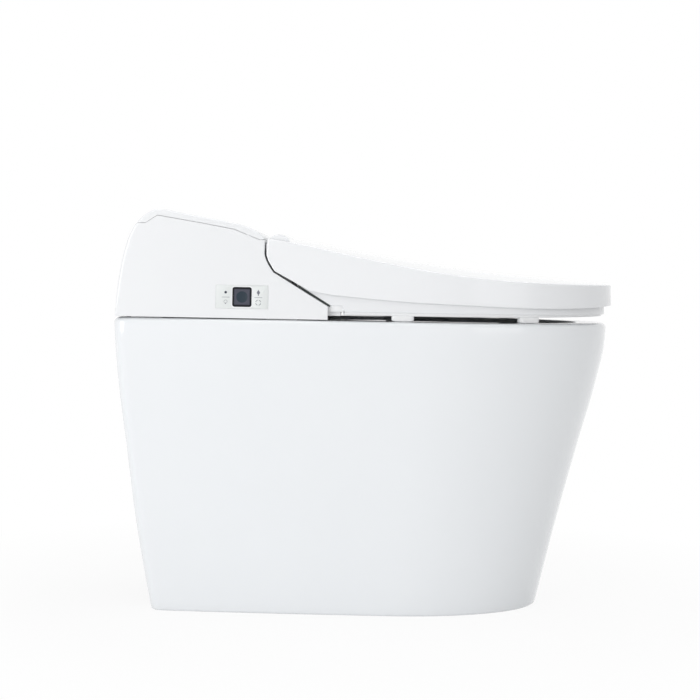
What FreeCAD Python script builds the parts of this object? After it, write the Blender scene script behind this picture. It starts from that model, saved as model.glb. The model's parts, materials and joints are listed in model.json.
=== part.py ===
import FreeCAD, Part
import math
import os

# Smart toilet with a heated seat: glazed ceramic pedestal, rear wash unit, seat and lid.
# Millimetres. +X is the front, +Z up, Y = 0 the middle plane. The origin lies on the floor
# under the middle of the outline. The control panel is on the -Y side.

# ---- driving dimensions ----
rim_z = 400.0              # height of the ceramic rim and rear deck
rim_half_w = 190.0         # half width of the rim, and of the lid above it
rim_rear_x = -342.5        # rearmost point of the ceramic
lid_tip_x = 342.5          # foremost point of the closed lid
hinge_x = -125.0           # hinge line of seat and lid
hinge_z = rim_z + 97.0
cheek_x = hinge_x + 66.0   # front wall of the housing
cheek_z = rim_z + 19.0     # where the front wall meets the slope
slope_deg = 31.0

# ---- clearances shared by several pieces ----
fit_gap = 0.3              # between pieces that nearly touch
run_gap = 0.05             # round turning shafts
over = 1.0                 # how far a cutting tool runs past a face
far = 700.0                # reach of a cutting tool that only has to clear the part
tiny = 0.01                # tolerance when edges are picked

# ---- pedestal ----
rim_front_x = lid_tip_x - 7.0
rim_rear_half_w = rim_half_w - 6.0
rim_wide_x = 62.0          # where the rim is widest
foot_front_x = rim_front_x - 93.9
foot_rear_x = rim_rear_x + 48.9
foot_half_w = rim_half_w - 60.0
foot_rear_half_w = foot_half_w - 11.0
foot_wide_x = 36.0
corner_r = 14.0            # rear corners, seen from above
rim_round = 7.0            # rounding of the rim's upper edge
wall = 12.0                # fired ceramic wall
deck_t = 20.0              # rim and deck thickness
bowl_wall = 11.0
bay_half_w = 78.0          # arched service opening in the rear wall
bay_spring_z = 170.0
bay_depth = 14.0           # how far the arch is cut in past the wall
recess_half_w = 95.0       # sloping recess under the nozzles
recess_depth = 14.0
recess_x0 = -60.0          # its ends, measured along the nozzle line
recess_x1 = 70.0

# share of the flare reached at a share of the height: (height, front flare, rear flare)
flare = [(0.0, 0.0, 0.0), (0.2875, 0.290, 0.397), (0.575, 0.610, 0.680),
         (0.7925, 0.862, 0.885), (0.936, 0.987, 0.975), (1.0, 1.0, 1.0)]

# bowl sections: depth below the rim, rear x, set back from the rim's front, half width
bowl_rows = [(-0.5, -30.0, 45.5, 125.0), (60.0, -20.0, 56.5, 117.0), (120.0, 8.0, 77.5, 102.0),
             (180.0, 38.0, 109.5, 82.0), (240.0, 60.0, 145.5, 58.0), (280.0, 74.0, 171.5, 40.0),
             (304.0, 94.0, 189.5, 22.0)]

# ---- trapway ----
trap_r = 27.0              # waterway radius
trap_wall = 9.0
trap_bend_r = 42.0
trap_bend_z = rim_z - 235.0     # centre of the crest bend
trap_rise_deg = 50.0       # slope of the rising leg
trap_rise_len = 108.0
trap_reach = 14.0          # the waterway runs on into the sump
trap_short = 6.0           # its wall ends inside the bowl's wall
outlet_x = -52.0
outlet_z = 7.0             # lower end of the outlet horn

# ---- floor adapter ----
adapter_t = 8.0
adapter_len = 150.0
adapter_half_w = 98.0
adapter_lift = 0.4
adapter_corner_r = 12.0
collar_wall = 5.0
collar_z = 18.0
closet_pitch = 152.4       # distance between the two floor bolts
closet_hole_r = 4.5
closet_bolt_r = 4.0
closet_bolt_over = 16.0    # thread standing above the plate
closet_washer_r = 9.0
screw_pitch_x = 120.0      # four floor screws near the corners of the adapter
screw_pitch_y = 172.0
screw_hole_r = 3.25
seal_r = 58.0
seal_flange_h = 11.0
seal_neck_h = 9.0
seal_wall = 8.0
seal_seat = 0.4            # the horn stands this much above its seat
seal_throat = 2.0          # the throat is wider than the waterway

# ---- fasteners ----
nut_r = 7.5
nut_h = 6.5
washer_t = 1.5
deck_bolt_x = hinge_x - 55.0
deck_bolt_r = 4.0
deck_hole_r = 6.0
deck_nut_h = 5.5
deck_washer_r = 10.0
deck_bolt_over = 4.0
deck_bolt_under = 14.0
under_washer_r = 12.0
under_washer_t = 2.0
under_nut_h = 7.0

# ---- rim pipe and flush valve ----
rim_pipe_r = 8.0
rim_pipe_x = -225.0
rim_pipe_y = recess_half_w + wall + rim_pipe_r      # beside the recess
rim_pipe_z = rim_z - 36.0
pipe_wall = 2.0
pipe_room = 3.0            # round the pipe where it passes the deck
pipe_end_x = 70.0
rim_jet_x = 110.0
rim_bend_r = 16.0
valve_corner_r = 4.0
flush_body = (-20.0, 26.0, -14.0, 20.0, 30.0)     # x0, x1, y0, y1 from the pipe, and height
flush_coil = (4.0, 2.0, 12.0, 28.0)               # x, y from the pipe, radius and height
flush_foot = (-18.0, -10.0, -12.0, 18.0, 3.0)

# ---- water inlet and wash valve ----
inlet_x = rim_rear_x + 78.5
inlet_y = 90.0
inlet_r = 10.48            # G 1/2 thread
inlet_neck_r = inlet_r - 1.0
inlet_bore_r = 7.0
inlet_end_z = rim_z - 38.0
inlet_thread = 18.0
inlet_hex_r = 16.0
inlet_hex_h = 6.0
inlet_hole_r = 19.0
neck_h = 12.0              # from the base plate up to the wash valve
wash_body = (-44.0, 14.0, -18.0, 16.0, 26.0)      # x0, x1, y0, y1 from the inlet, and height
wash_coil = (-28.0, 0.0, 13.0, 26.0)              # x, y from the inlet, radius and height
wash_cap = (0.0, 0.0, 9.0, 4.0)
strainer_r = 6.7
strainer_bore_r = 5.2
strainer_set = 4.0         # up from the lower end of the inlet
strainer_z1 = 8.0          # upper end above the base plate
strainer_roof = 3.0

# ---- wash unit housing ----
house_half_w = rim_half_w - 5.5
house_wall = 3.0
house_gap = 1.2            # shadow line above the deck
house_round = 3.5
soft_end_x = hinge_x - 20.0     # the side edges are rounded behind this
slope_back_x = hinge_x - 6.9    # upper end of the slope, below the hinge
cover_gap = 0.35           # parting line of the top cover
pad_t = 1.0
base_t = 4.0
edge_gap = 0.3             # base plate inside the housing
base_rear_gap = 1.2
base_cut_x = cheek_x - 39.0     # the base plate is open in front of this
base_cut_gap = 2.0
base_z0 = rim_z + pad_t
base_z1 = base_z0 + base_t
house_z0 = rim_z + house_gap
slope_tan = math.tan(math.radians(slope_deg))

# side outline of the housing, from the deck up and forward: behind x and above the rim
# first, then from the hinge line
house_rear = [(2.5, house_gap), (3.9, 30.0), (7.5, 59.0), (14.0, 91.0), (22.5, 115.0),
              (31.5, 128.5), (42.5, 138.0), (51.8, 143.5)]
house_crown = [(-132.0, 42.7), (-100.0, 37.2), (-68.0, 32.0), (-47.0, 27.0), (-27.0, 18.5),
               (-18.6, 12.5), (-18.7, 1.5), (-18.2, -13.6), (-15.3, -20.8)]
cover_rear = [(-2.5, 124.8), (40.5, 124.8), (56.5, 135.2)]
cover_front = [(-106.0, 29.5), (-60.0, 21.5), (-26.5, 8.5), (-13.0, 8.5)]
boss_y = house_half_w - 16.5
boss_rear_x = rim_rear_x + 20.5
boss_front_x = cheek_x - 15.0
boss_r = 7.0
boss_h = 16.0
boss_rear_web = 14.0
boss_front_web = 11.0
boss_pilot_r = 2.0
boss_pilot_h = 12.0
screw_r = 1.95
screw_room_r = 2.3
screw_len = 11.0           # above the base plate
vent_y0 = -160.0
vent_pitch = 8.0
vent_w = 4.0
vent_rows = 6
vent_z0 = rim_z + 40.0
vent_h = 30.0
mouth_half_w = recess_half_w - 3.0        # nozzle mouth, along the nozzle line
mouth_x0 = -44.0
mouth_x1 = 30.0
mouth_drop = 4.0
mouth_rise = 2.0
gasket_rear_x = rim_rear_x + 22.5
gasket_front_x = deck_bolt_x + 40.0
gasket_len = 40.0
gasket_w = 24.0
gasket_side_y = house_half_w - 34.5
gasket_mid_y = 20.0
deck_bolt_y = house_half_w - 44.5
gland_z = rim_z + 30.0
gland_x = rim_rear_x + 4.3
gland_r = 8.0
gland_len = 22.0
gland_bore_r = 3.8
gland_nut_r = 11.0
gland_nut_gap = 1.5
gland_nut_t = 4.5
hole_gap = 0.1             # round the gland and the control plate
rail_x = cheek_x + 17.5    # front strip under the housing
rail_z0 = rim_z + 6.5
rail_z1 = rim_z + 16.0
rail_half_w = house_half_w - 12.5
rail_round = 1.5

# ---- controls ----
plate_x = hinge_x - 47.5   # control plate centre
plate_z = rim_z + 29.4
plate_len = 69.0
plate_h = 30.7
plate_t = 1.6
plate_proud = 0.3
button_w = 25.0
button_h = 25.6
button_r = 3.0
button_gap = 0.35
button_proud = 0.2
button_travel = 1.5
button_skirt = 0.5
button_lip = 2.0
button_lip_t = 1.4
button_stem_r = 3.0
dish_r = 60.0              # sphere that hollows the button's face
dish_depth = 0.6
board_y = 16.1 - house_half_w
board_t = 1.6
board_x0 = plate_x - 63.5
board_x1 = plate_x + 28.5
board_lift = 0.2
board_h = 72.0
board_gap = 0.2
board_rail_t = 2.4
board_rail_h = 8.0
board_rail_over = 4.0
switch_half = 4.0
switch_y = board_y - 4.0
chip_count = 3
chip_pitch = 30.0
chip_len = 18.0
chip_z0 = 40.0
chip_t = 2.5

# ---- heater, power supply and deodoriser ----
heater_x = rim_rear_x + 14.5
heater_y = 124.5 - house_half_w
heater_len = 76.0
heater_half_w = 28.0
heater_h = 66.0
heater_corner_r = 8.0
heater_ribs = 6
heater_rib_pitch = 14.0
heater_rib_t = 4.0
heater_rib_z0 = 8.0
heater_port_y = 14.0
heater_port_z = 20.0
heater_port_r = 5.0
heater_port_len = 12.0
gland_y = heater_y + heater_half_w + gland_nut_r + 3.0      # the cord enters beside the heater
hose_r = 4.0
psu_x = rim_rear_x + 92.5
psu_y = board_y + 18.4
psu_len = 58.0
psu_w = 56.0
psu_h = 34.0
fin_count = 7
fin_pitch = 8.0
fin_t = 3.0
fin_h = 6.0
fin_set = 2.0
deo_x = rim_rear_x + 52.5
deo_y = 54.5 - house_half_w
deo_half_x = 32.0
deo_half_y = 28.0
deo_h = 50.0
deo_wall = 2.5
filter_z0 = 3.0
filter_h = 16.0
filter_grooves = 6
filter_pitch = 9.0
filter_groove_w = 5.0
fan_bore_r = 22.0
fan_hub_r = 7.0
fan_post_r = 2.0
fan_reach = 20.5
fan_vanes = 7
fan_vane_deg = 40.0

# ---- nozzles: measured along their tilted line, from the tip ----
nozzle_tip_x = cheek_x - 1.0
nozzle_tip_z = rim_z - 3.0
nozzle_tilt = 31.0
nozzle_r = 7.0
nozzle_len = 150.0
nozzle_y = 12.0            # each nozzle's distance from the middle
nozzle_gap = 0.08
nozzle_bore_r = 2.5
tip_len = 22.0
tip_round = 3.0
socket_r = 4.0
socket_len = 6.0
jet_r = 0.7
jet_pitch = 2.6
guide_half_w = 23.0
guide_half_h = 10.5
guide_x0 = -128.0
guide_x1 = -24.0
guide_foot = [(-100.0, base_z1), (-52.0, base_z1), (-52.0, rim_z + 20.0), (-100.0, rim_z + 46.0)]
slot_over = 2.0
motor_x = -98.0
motor_half = 14.0
motor_r = 9.5
motor_len = 10.0
motor_flange_t = 2.0

# ---- warm air and night light, measured along the nozzle line ----
duct_y0 = 38.0
duct_y1 = 88.0
duct_half_h = 8.0
duct_wall = 2.0
duct_x0 = -140.0
duct_x1 = -28.0
duct_ear = 6.0
flap_t = 1.5
flap_h = 16.0
flap_pin_r = 1.5
flap_gap = 0.4
flap_x = duct_x1 + 3.0
flap_z = duct_half_h + 2.0
fan_x = -178.0             # blower axis
fan_z = -22.0
fan_case_r = 36.0
fan_case_wall = 2.5
fan_mouth_r = 20.0
fan_wheel_r = 29.0
fan_blades = 20
fan_blade_deg = 28.0
blower_shaft_r = 2.0
blower_can_r = 17.0
blower_can_len = 16.0
blower_foot_half = 14.0
lens_x0 = -40.0
lens_y0 = -84.0
lens_w = 32.0
lens_z0 = -7.0
lens_z1 = 5.0
light_foot_x = cheek_x - 51.0

# ---- hinge ----
roll_end_y = house_half_w - 3.5
boss_y0 = roll_end_y - 16.0     # lid's hinge boss, from here to the end of the roll
arm_y1 = boss_y0 - 2.0          # seat arm
arm_y0 = arm_y1 - 11.0
block_y1 = arm_y0 - 2.0         # hinge block
block_y0 = block_y1 - 38.0
roll_r = 16.0
roll_mid_r = 18.2          # the roll swells a little in the middle
roll_bore_r = 13.0
roll_open_deg = 160.0      # rear lip of the roll
roll_web_deg = -25.0       # where the roll meets the lid
roll_sector_r = 60.0
roll_sweep_r = 17.6        # nothing of the lid behind the hinge line lies further out
roll_gap = 0.2
roll_front = 6.0
roll_end_drop = 30.0
shaft_r = 5.0
shaft_fit = 0.02
shaft_chamfer = 0.6
block_r = 11.8
block_post = (-2.0, 11.0)       # post from the hinge line, rear and front
block_foot = (4.0, 5.0)         # its foot reaches further
block_foot_t = 4.0
damper_r = 9.0
damper_len = 26.0
damper_key = (1.5, 3.0, 6.0)
arm_r = 11.5
arm_link = [(8.0, -8.0), (23.0, -13.0), (23.0, -36.0), (-3.0, -10.0)]     # from the hinge line

# ---- lid ----
lid_half_w = rim_half_w
lid_rear_half_w = lid_half_w - 4.5
lid_rear_x = hinge_x - 16.5
lid_rear_over = 2.0
lid_wall = 3.0
lid_room_x = hinge_x + 22.0     # rear wall of the lid's hollow
lid_gap = 2.2              # between the lid's cheek and the housing's slope
plan_corner_r = 4.0
panel_drop = 16.0          # lid's inner panel below the lid's top
panel_t = 2.5
lid_throat = [(-16.4, 19.0), (-16.5, 1.5), (-16.0, -12.8), (-13.4, -19.4)]     # from the hinge line
lid_cheek_x = hinge_x + 42.0
lid_cheek_rise = 3.0
# lower edge of the lid's skirt: x and height above the rim
lid_skirt = [(cheek_x + 3.0, 34.3), (36.0, 27.2), (128.0, 23.4), (lid_tip_x - 128.5, 20.6),
             (lid_tip_x - 80.5, 20.6), (lid_tip_x - 37.5, 22.0), (lid_tip_x + 2.5, 24.9)]
# dome of the lid: x, height of the crown above the rim, fall to each side
dome_rows = [(hinge_x - 25.0, 115.0, 7.0), (hinge_x + 30.0, 107.6, 8.0), (-20.0, 94.0, 10.0),
             (80.0, 78.3, 12.0), (175.0, 66.5, 12.0), (lid_tip_x - 82.5, 59.8, 13.0),
             (lid_tip_x + 7.5, 53.0, 14.0)]
dome_half_w = lid_half_w + 6.0
lid_bumper_r = 7.0
lid_bumper_places = [(40.0, lid_half_w - 44.0), (lid_tip_x - 110.5, lid_half_w - 86.0)]

# ---- seat ----
seat_tip_x = lid_tip_x - 9.8
seat_half_w = lid_half_w - 6.5
seat_rear_half_w = seat_half_w - 4.5
seat_rear_x = hinge_x + 21.0
seat_rear_over = 4.0
seat_bottom_z = rim_z + 5.5
seat_split_z = rim_z + 12.0     # seam of the upper shell and the lower tray
seat_drop = 24.5           # seat top below the lid's top
seat_skin = 3.0
seat_gap = 3.5             # between the seat and the housing
seat_knee = 4.0
tray_inset = 3.5
tray_wall = 3.0
tray_chamfer = 1.5
heat_inset = 12.0
heat_gap = 0.1
heat_t = 0.5
sensor_x = seat_rear_x + 30.0
sensor_y = 60.0
sensor_w = 26.0
sensor_gap = 0.7
sensor_t = 7.3
bumper_half_x = 15.0
bumper_half_y = 6.0
bumper_corner_r = 5.0
seat_bumper_places = [(40.0, seat_half_w - 33.5, 0.0), (seat_tip_x - 120.7, seat_half_w - 57.5, -34.0)]
# opening of the seat: height above the rim, rear x, set back from the seat's tip, half width
hole_rows = [(0.0, -5.0, 60.7, 104.0), (28.0, -8.0, 56.7, 108.0), (125.0, -30.0, 32.7, 136.0)]


# ---- helpers ----
def vec(x, y, z):
    return FreeCAD.Vector(x, y, z)


def box(x0, x1, y0, y1, z0, z1):
    return Part.makeBox(x1 - x0, y1 - y0, z1 - z0, vec(x0, y0, z0))


def cyl_x(y, z, r, x0, x1):
    return Part.makeCylinder(r, x1 - x0, vec(x0, y, z), vec(1, 0, 0))


def cyl_y(x, z, r, y0, y1):
    return Part.makeCylinder(r, y1 - y0, vec(x, y0, z), vec(0, 1, 0))


def cyl_z(x, y, r, z0, z1):
    return Part.makeCylinder(r, z1 - z0, vec(x, y, z0), vec(0, 0, 1))


def post_box(x0, x1, y0, y1, z0, z1, r):
    """Box with its four upright edges rounded."""
    block = box(x0, x1, y0, y1, z0, z1)
    return block.makeFillet(r, [e for e in block.Edges if e.BoundBox.ZLength > z1 - z0 - tiny])


def face_box(x, z, half_x, half_z, r, y0, y1):
    """Pad on a side wall with its four corners rounded."""
    pad = box(x - half_x, x + half_x, y0, y1, z - half_z, z + half_z)
    return pad.makeFillet(r, [e for e in pad.Edges if e.BoundBox.YLength > y1 - y0 - tiny])


def hexagon(x, y, r, z0, z1):
    corners = [math.radians(60 * i) for i in range(7)]
    points = [vec(x + r * math.cos(a), y + r * math.sin(a), z0) for a in corners]
    return Part.Face(Part.makePolygon(points)).extrude(vec(0, 0, z1 - z0))


def side_prism(points, y0, y1):
    """Polygon in the XZ plane, pushed from y0 to y1."""
    wire = Part.makePolygon([vec(x, y0, z) for x, z in points + points[:1]])
    return Part.Face(wire).extrude(vec(0, y1 - y0, 0))


def ring_section(z, rear_x, front_x, half_w):
    ring = Part.Ellipse(vec((rear_x + front_x) / 2, 0, z), (front_x - rear_x) / 2, half_w)
    return Part.Wire(ring.toShape())


def mirrored(shape):
    return shape.mirror(vec(0, 0, 0), vec(0, 1, 0))


def pair(shape):
    return Part.makeCompound([shape, mirrored(shape)])


def pairs(shapes):
    return Part.makeCompound([side for shape in shapes for side in (shape, mirrored(shape))])


def fuse_all(shapes):
    return shapes[0].multiFuse(shapes[1:]).removeSplitter()


def only_solid(shape):
    """The largest solid of a result that should be one piece."""
    return max(shape.Solids, key=lambda s: s.Volume)


def from_hinge(points):
    return [(hinge_x + x, hinge_z + z) for x, z in points]


def from_rear(points):
    return [(rim_rear_x + x, rim_z + z) for x, z in points]


def slope_z(x):
    """Height of the housing's sloping front above x."""
    return cheek_z + (cheek_x - x) * slope_tan


def along_nozzle(shape):
    """Moves a shape drawn along +X at the origin onto the tilted nozzle line."""
    turned = shape.copy()
    turned.rotate(vec(0, 0, 0), vec(0, 1, 0), nozzle_tilt)
    turned.translate(vec(nozzle_tip_x, 0, nozzle_tip_z))
    return turned


def outline(z, rear_x, rear_w, wide_x, wide_w, front_x, corner):
    """Toilet outline seen from above: flat rear, bowed sides, half-ellipse front."""
    side_w = rear_w + (wide_w - rear_w) * 0.06
    bow_x = (wide_x + rear_x + corner) / 2
    bow_w = wide_w - (wide_w - side_w) * 0.25
    cut = corner * (1 - math.sqrt(0.5))
    nose = Part.Ellipse(vec(wide_x, 0, z), front_x - wide_x, wide_w)
    edges = [Part.Arc(nose, -math.pi / 2, math.pi / 2).toShape()]
    for s in (1, -1):
        side = Part.Arc(vec(wide_x, s * wide_w, z), vec(bow_x, s * bow_w, z),
                        vec(rear_x + corner, s * side_w, z))
        bend = Part.Arc(vec(rear_x + corner, s * side_w, z),
                        vec(rear_x + cut, s * (side_w - cut), z),
                        vec(rear_x, s * (side_w - corner), z))
        edges += [side.toShape(), bend.toShape()]
    rear = side_w - corner
    edges.append(Part.makeLine(vec(rear_x, -rear, z), vec(rear_x, rear, z)))
    return Part.Wire(Part.__sortEdges__(edges))


# ---- ceramic ----
def skirt_form(inset, z0, z1):
    """The flared pedestal between two heights, its walls moved in by inset."""
    wires = []
    for share, front, rear in flare:
        z = z0 + (z1 - z0) * share
        wide = foot_half_w + (rim_half_w - foot_half_w) * front
        rear_w = foot_rear_half_w + (rim_rear_half_w - foot_rear_half_w) * front
        wires.append(outline(z, foot_rear_x + (rim_rear_x - foot_rear_x) * rear + inset,
                             rear_w - inset, foot_wide_x + (rim_wide_x - foot_wide_x) * front,
                             wide - inset, foot_front_x + (rim_front_x - foot_front_x) * front - inset,
                             corner_r))
    return Part.makeLoft(wires, True, False)


def bowl_form(grow):
    """The bowl's room, or its outside where grow is the wall."""
    sections = []
    for depth, rear, set_back, half_w in bowl_rows:
        floor_drop = grow if depth == bowl_rows[-1][0] else 0
        sections.append(ring_section(rim_z - depth - floor_drop, rear - grow,
                                     rim_front_x - set_back + grow, half_w + grow))
    return Part.makeLoft(sections, True, False)


def trap_tube(r, z_end, extra):
    """Waterway: rises from the sump over the crest and falls to the outlet."""
    rise = math.radians(trap_rise_deg)
    step = vec(-math.cos(rise), 0, math.sin(rise))
    centre = vec(outlet_x + trap_bend_r, 0, trap_bend_z)
    start = centre + vec(math.sin(rise), 0, math.cos(rise)) * trap_bend_r
    half = (math.pi / 2 - rise + math.pi) / 2
    mid = centre + vec(math.cos(half), 0, math.sin(half)) * trap_bend_r
    end = centre - vec(trap_bend_r, 0, 0)
    foot = start - step * (trap_rise_len + extra)
    path = Part.Wire([Part.makeLine(foot, start), Part.Arc(start, mid, end).toShape(),
                      Part.makeLine(end, vec(outlet_x, 0, z_end))])
    ring = Part.Wire(Part.makeCircle(r, foot, step))
    return path.makePipeShell([ring], True, False)


def recess_box(half_w, x0, x1, z0, z1):
    return along_nozzle(box(x0, x1, -half_w, half_w, z0, z1))


def skirt_shell():
    """The flared outer wall with the rim and deck closing its top."""
    skirt = skirt_form(0, 0, rim_z)
    top = [e for e in skirt.Edges if e.BoundBox.ZMin > rim_z - tiny]
    return skirt.makeFillet(rim_round, top).cut(skirt_form(wall, -over, rim_z - deck_t))


def deck_holes():
    z0 = rim_z - deck_t - over
    z1 = rim_z + over
    holes = [cyl_z(inlet_x, inlet_y, inlet_hole_r, z0, z1)]
    holes += [cyl_z(deck_bolt_x, s * deck_bolt_y, deck_hole_r, z0, z1) for s in (1, -1)]
    holes.append(cyl_z(rim_pipe_x, rim_pipe_y, rim_pipe_r + pipe_room, z0, z1))
    holes.append(cyl_x(rim_pipe_y, rim_pipe_z, rim_pipe_r - pipe_wall, 0, rim_jet_x))
    return Part.makeCompound(holes)


def service_arch():
    front = foot_rear_x + wall + bay_depth
    arch = box(-far, front, -bay_half_w, bay_half_w, -over, bay_spring_z)
    return arch.fuse(cyl_x(0, bay_spring_z, bay_half_w, -far, front))


def ceramic_body():
    bowl = bowl_form(bowl_wall).common(box(-far, far, -far, far, 0, rim_z - deck_t / 2))
    recess = recess_box(recess_half_w + wall, recess_x0 + wall, recess_x1 - 2 * wall,
                        -recess_depth - wall, wall)
    recess = recess.common(box(-far, 0, -far, far, 0, rim_z - over))
    body = fuse_all([skirt_shell(), bowl, recess])
    body = body.cut(bowl_form(0))
    body = body.cut(recess_box(recess_half_w, recess_x0, recess_x1, -recess_depth, far))
    body = body.cut(trap_tube(trap_r, outlet_z, trap_reach))
    return only_solid(body.cut(service_arch()).cut(deck_holes()))


def ceramic_pieces():
    """The casting as three touching solids, parted at the underside of the rim."""
    body = ceramic_body()
    upper = box(-far, far, -far, far, rim_z - deck_t, far)
    skirt, bowl = sorted(body.cut(upper).Solids, key=lambda s: -s.BoundBox.XLength)[:2]
    return skirt, only_solid(body.common(upper)), bowl


def trapway():
    tube = trap_tube(trap_r + trap_wall, outlet_z, -trap_short)
    tube = tube.cut(trap_tube(trap_r, outlet_z - over, trap_reach + trap_short))
    return only_solid(tube.cut(bowl_form(bowl_wall)))


def outlet_seal():
    horn_r = trap_r + trap_wall
    flange_z = outlet_z + seal_flange_h
    outer = cyl_z(outlet_x, 0, seal_r, adapter_lift, flange_z)
    outer = outer.fuse(cyl_z(outlet_x, 0, horn_r + seal_wall, flange_z, flange_z + seal_neck_h))
    inner = cyl_z(outlet_x, 0, horn_r + fit_gap, outlet_z - seal_seat, far)
    throat = cyl_z(outlet_x, 0, trap_r + seal_throat, -far, far)
    return outer.cut(inner).cut(throat).removeSplitter()


def floor_adapter():
    x0 = outlet_x - adapter_len / 2
    plate = post_box(x0, x0 + adapter_len, -adapter_half_w, adapter_half_w, adapter_lift, adapter_t,
                     adapter_corner_r)
    collar = cyl_z(outlet_x, 0, seal_r + collar_wall, adapter_lift, collar_z)
    body = plate.fuse(collar).cut(cyl_z(outlet_x, 0, seal_r + fit_gap, -far, far))
    for s in (1, -1):
        body = body.cut(cyl_z(outlet_x, s * closet_pitch / 2, closet_hole_r, -far, far))
        for x in (outlet_x - screw_pitch_x / 2, outlet_x + screw_pitch_x / 2):
            body = body.cut(cyl_z(x, s * screw_pitch_y / 2, screw_hole_r, -far, far))
    return body.removeSplitter()


def closet_bolt():
    y = closet_pitch / 2
    nut_z = adapter_t + washer_t
    shank = cyl_z(outlet_x, y, closet_bolt_r, adapter_lift, adapter_t + closet_bolt_over)
    washer = cyl_z(outlet_x, y, closet_washer_r, adapter_t, nut_z)
    return fuse_all([shank, washer, hexagon(outlet_x, y, nut_r, nut_z, nut_z + nut_h)])


# ---- water side ----
def rim_pipe_form(r, top, end):
    a = vec(rim_pipe_x, rim_pipe_y, rim_pipe_z + rim_bend_r)
    c = vec(rim_pipe_x + rim_bend_r, rim_pipe_y, rim_pipe_z)
    half = rim_bend_r * (1 - math.sqrt(0.5))
    b = vec(rim_pipe_x + half, rim_pipe_y, rim_pipe_z + half)
    path = Part.Wire([Part.makeLine(vec(rim_pipe_x, rim_pipe_y, top), a), Part.Arc(a, b, c).toShape(),
                      Part.makeLine(c, vec(end, rim_pipe_y, rim_pipe_z))])
    ring = Part.Wire(Part.makeCircle(r, vec(rim_pipe_x, rim_pipe_y, top), vec(0, 0, 1)))
    return path.makePipeShell([ring], True, False)


def rim_pipe():
    top = base_z1 + over
    tube = rim_pipe_form(rim_pipe_r, top, pipe_end_x)
    tube = tube.cut(rim_pipe_form(rim_pipe_r - pipe_wall, top + over, rim_jet_x))
    return only_solid(tube.cut(bowl_form(bowl_wall)))


def block_at(x, y, sizes, z):
    x0, x1, y0, y1, h = sizes
    return post_box(x + x0, x + x1, y + y0, y + y1, z, z + h, valve_corner_r)


def round_at(x, y, sizes, z):
    dx, dy, r, h = sizes
    return cyl_z(x + dx, y + dy, r, z, z + h)


def flush_valve():
    x0, x1, y0, y1, h = flush_body
    body = post_box(rim_pipe_x + x0, rim_pipe_x + x1, rim_pipe_y + y0, rim_pipe_y + y1,
                    base_z1 + over, base_z1 + h, valve_corner_r)
    coil = round_at(rim_pipe_x, rim_pipe_y, flush_coil, base_z1 + h)
    x0, x1, y0, y1, h = flush_foot
    foot = box(rim_pipe_x + x0, rim_pipe_x + x1, rim_pipe_y + y0, rim_pipe_y + y1, base_z1, base_z1 + h)
    return fuse_all([body, coil, foot])


def water_inlet():
    neck_z = inlet_end_z + inlet_thread
    thread = cyl_z(inlet_x, inlet_y, inlet_r, inlet_end_z, neck_z)
    neck = cyl_z(inlet_x, inlet_y, inlet_neck_r, neck_z, base_z1 + neck_h)
    flange = hexagon(inlet_x, inlet_y, inlet_hex_r, base_z1, base_z1 + inlet_hex_h)
    return fuse_all([thread, neck, flange]).cut(cyl_z(inlet_x, inlet_y, inlet_bore_r, 0, far))


def wash_valve():
    z = base_z1 + neck_h
    top = z + wash_body[-1]
    coil = round_at(inlet_x, inlet_y, wash_coil, top)
    cap = round_at(inlet_x, inlet_y, wash_cap, top)
    return fuse_all([block_at(inlet_x, inlet_y, wash_body, z), coil, cap])


def strainer():
    body = cyl_z(inlet_x, inlet_y, strainer_r, inlet_end_z + strainer_set, base_z1 + strainer_z1)
    return body.cut(cyl_z(inlet_x, inlet_y, strainer_bore_r, 0, base_z1 + strainer_z1 - strainer_roof))


def instant_heater():
    x1 = heater_x + heater_len
    body = post_box(heater_x, x1, heater_y - heater_half_w, heater_y + heater_half_w, base_z1,
                    base_z1 + heater_h, heater_corner_r)
    ribs = []
    for i in range(heater_ribs):
        x = heater_x + heater_rib_t + heater_rib_pitch * i
        side = heater_half_w + heater_rib_t / 2
        ribs.append(box(x, x + heater_rib_t, heater_y - side, heater_y + side, base_z1 + heater_rib_z0,
                        base_z1 + heater_h - heater_rib_z0))
    port_z = base_z1 + heater_port_z
    ports = [cyl_x(heater_y + s * heater_port_y, port_z, heater_port_r, x1, x1 + heater_port_len)
             for s in (-1, 1)]
    return fuse_all([body] + ribs + ports)


def hose(points):
    """Soft tube through a few points; its bends are rounded by a spline."""
    curve = Part.BSplineCurve()
    curve.interpolate([vec(x, y, base_z1 + z) for x, y, z in points])
    path = Part.Wire(curve.toShape())
    start = curve.value(curve.FirstParameter)
    ring = Part.Wire(Part.makeCircle(hose_r, start, curve.tangent(curve.FirstParameter)[0]))
    return path.makePipeShell([ring], True, True)


def water_hoses():
    """Feed from the wash valve to the heater, and warm water from the heater to the nozzles."""
    valve_x = inlet_x + wash_coil[0]
    valve_y = inlet_y + wash_body[2] - fit_gap
    port_x = heater_x + heater_len + heater_port_len + fit_gap
    port_z = heater_port_z
    feed_y = heater_y + heater_port_y
    warm_y = heater_y - heater_port_y
    feed = [(valve_x, valve_y, port_z + 5), (valve_x, inlet_y - 30, port_z + 5),
            (valve_x + 12, inlet_y - 70, port_z + 2), (port_x - 4.3, feed_y + 36, port_z),
            (port_x + 15.7, feed_y + 16, port_z), (port_x + 10.7, feed_y + 4, port_z), (port_x, feed_y, port_z)]
    warm = [(port_x + fit_gap, warm_y, port_z), (port_x + 4.7, warm_y, port_z),
            (port_x + 17.7, warm_y + 2, port_z), (port_x + 39.7, warm_y + 12, port_z),
            (nozzle_tip_x - 126, -36, port_z), (nozzle_tip_x - 116, -18, port_z),
            (nozzle_tip_x - 103, -14, port_z)]
    return Part.makeCompound([hose(feed), hose(warm)])


# ---- wash unit ----
def boss_places():
    return [(x, s) for x in (boss_rear_x, boss_front_x) for s in (1, -1)]


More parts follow.
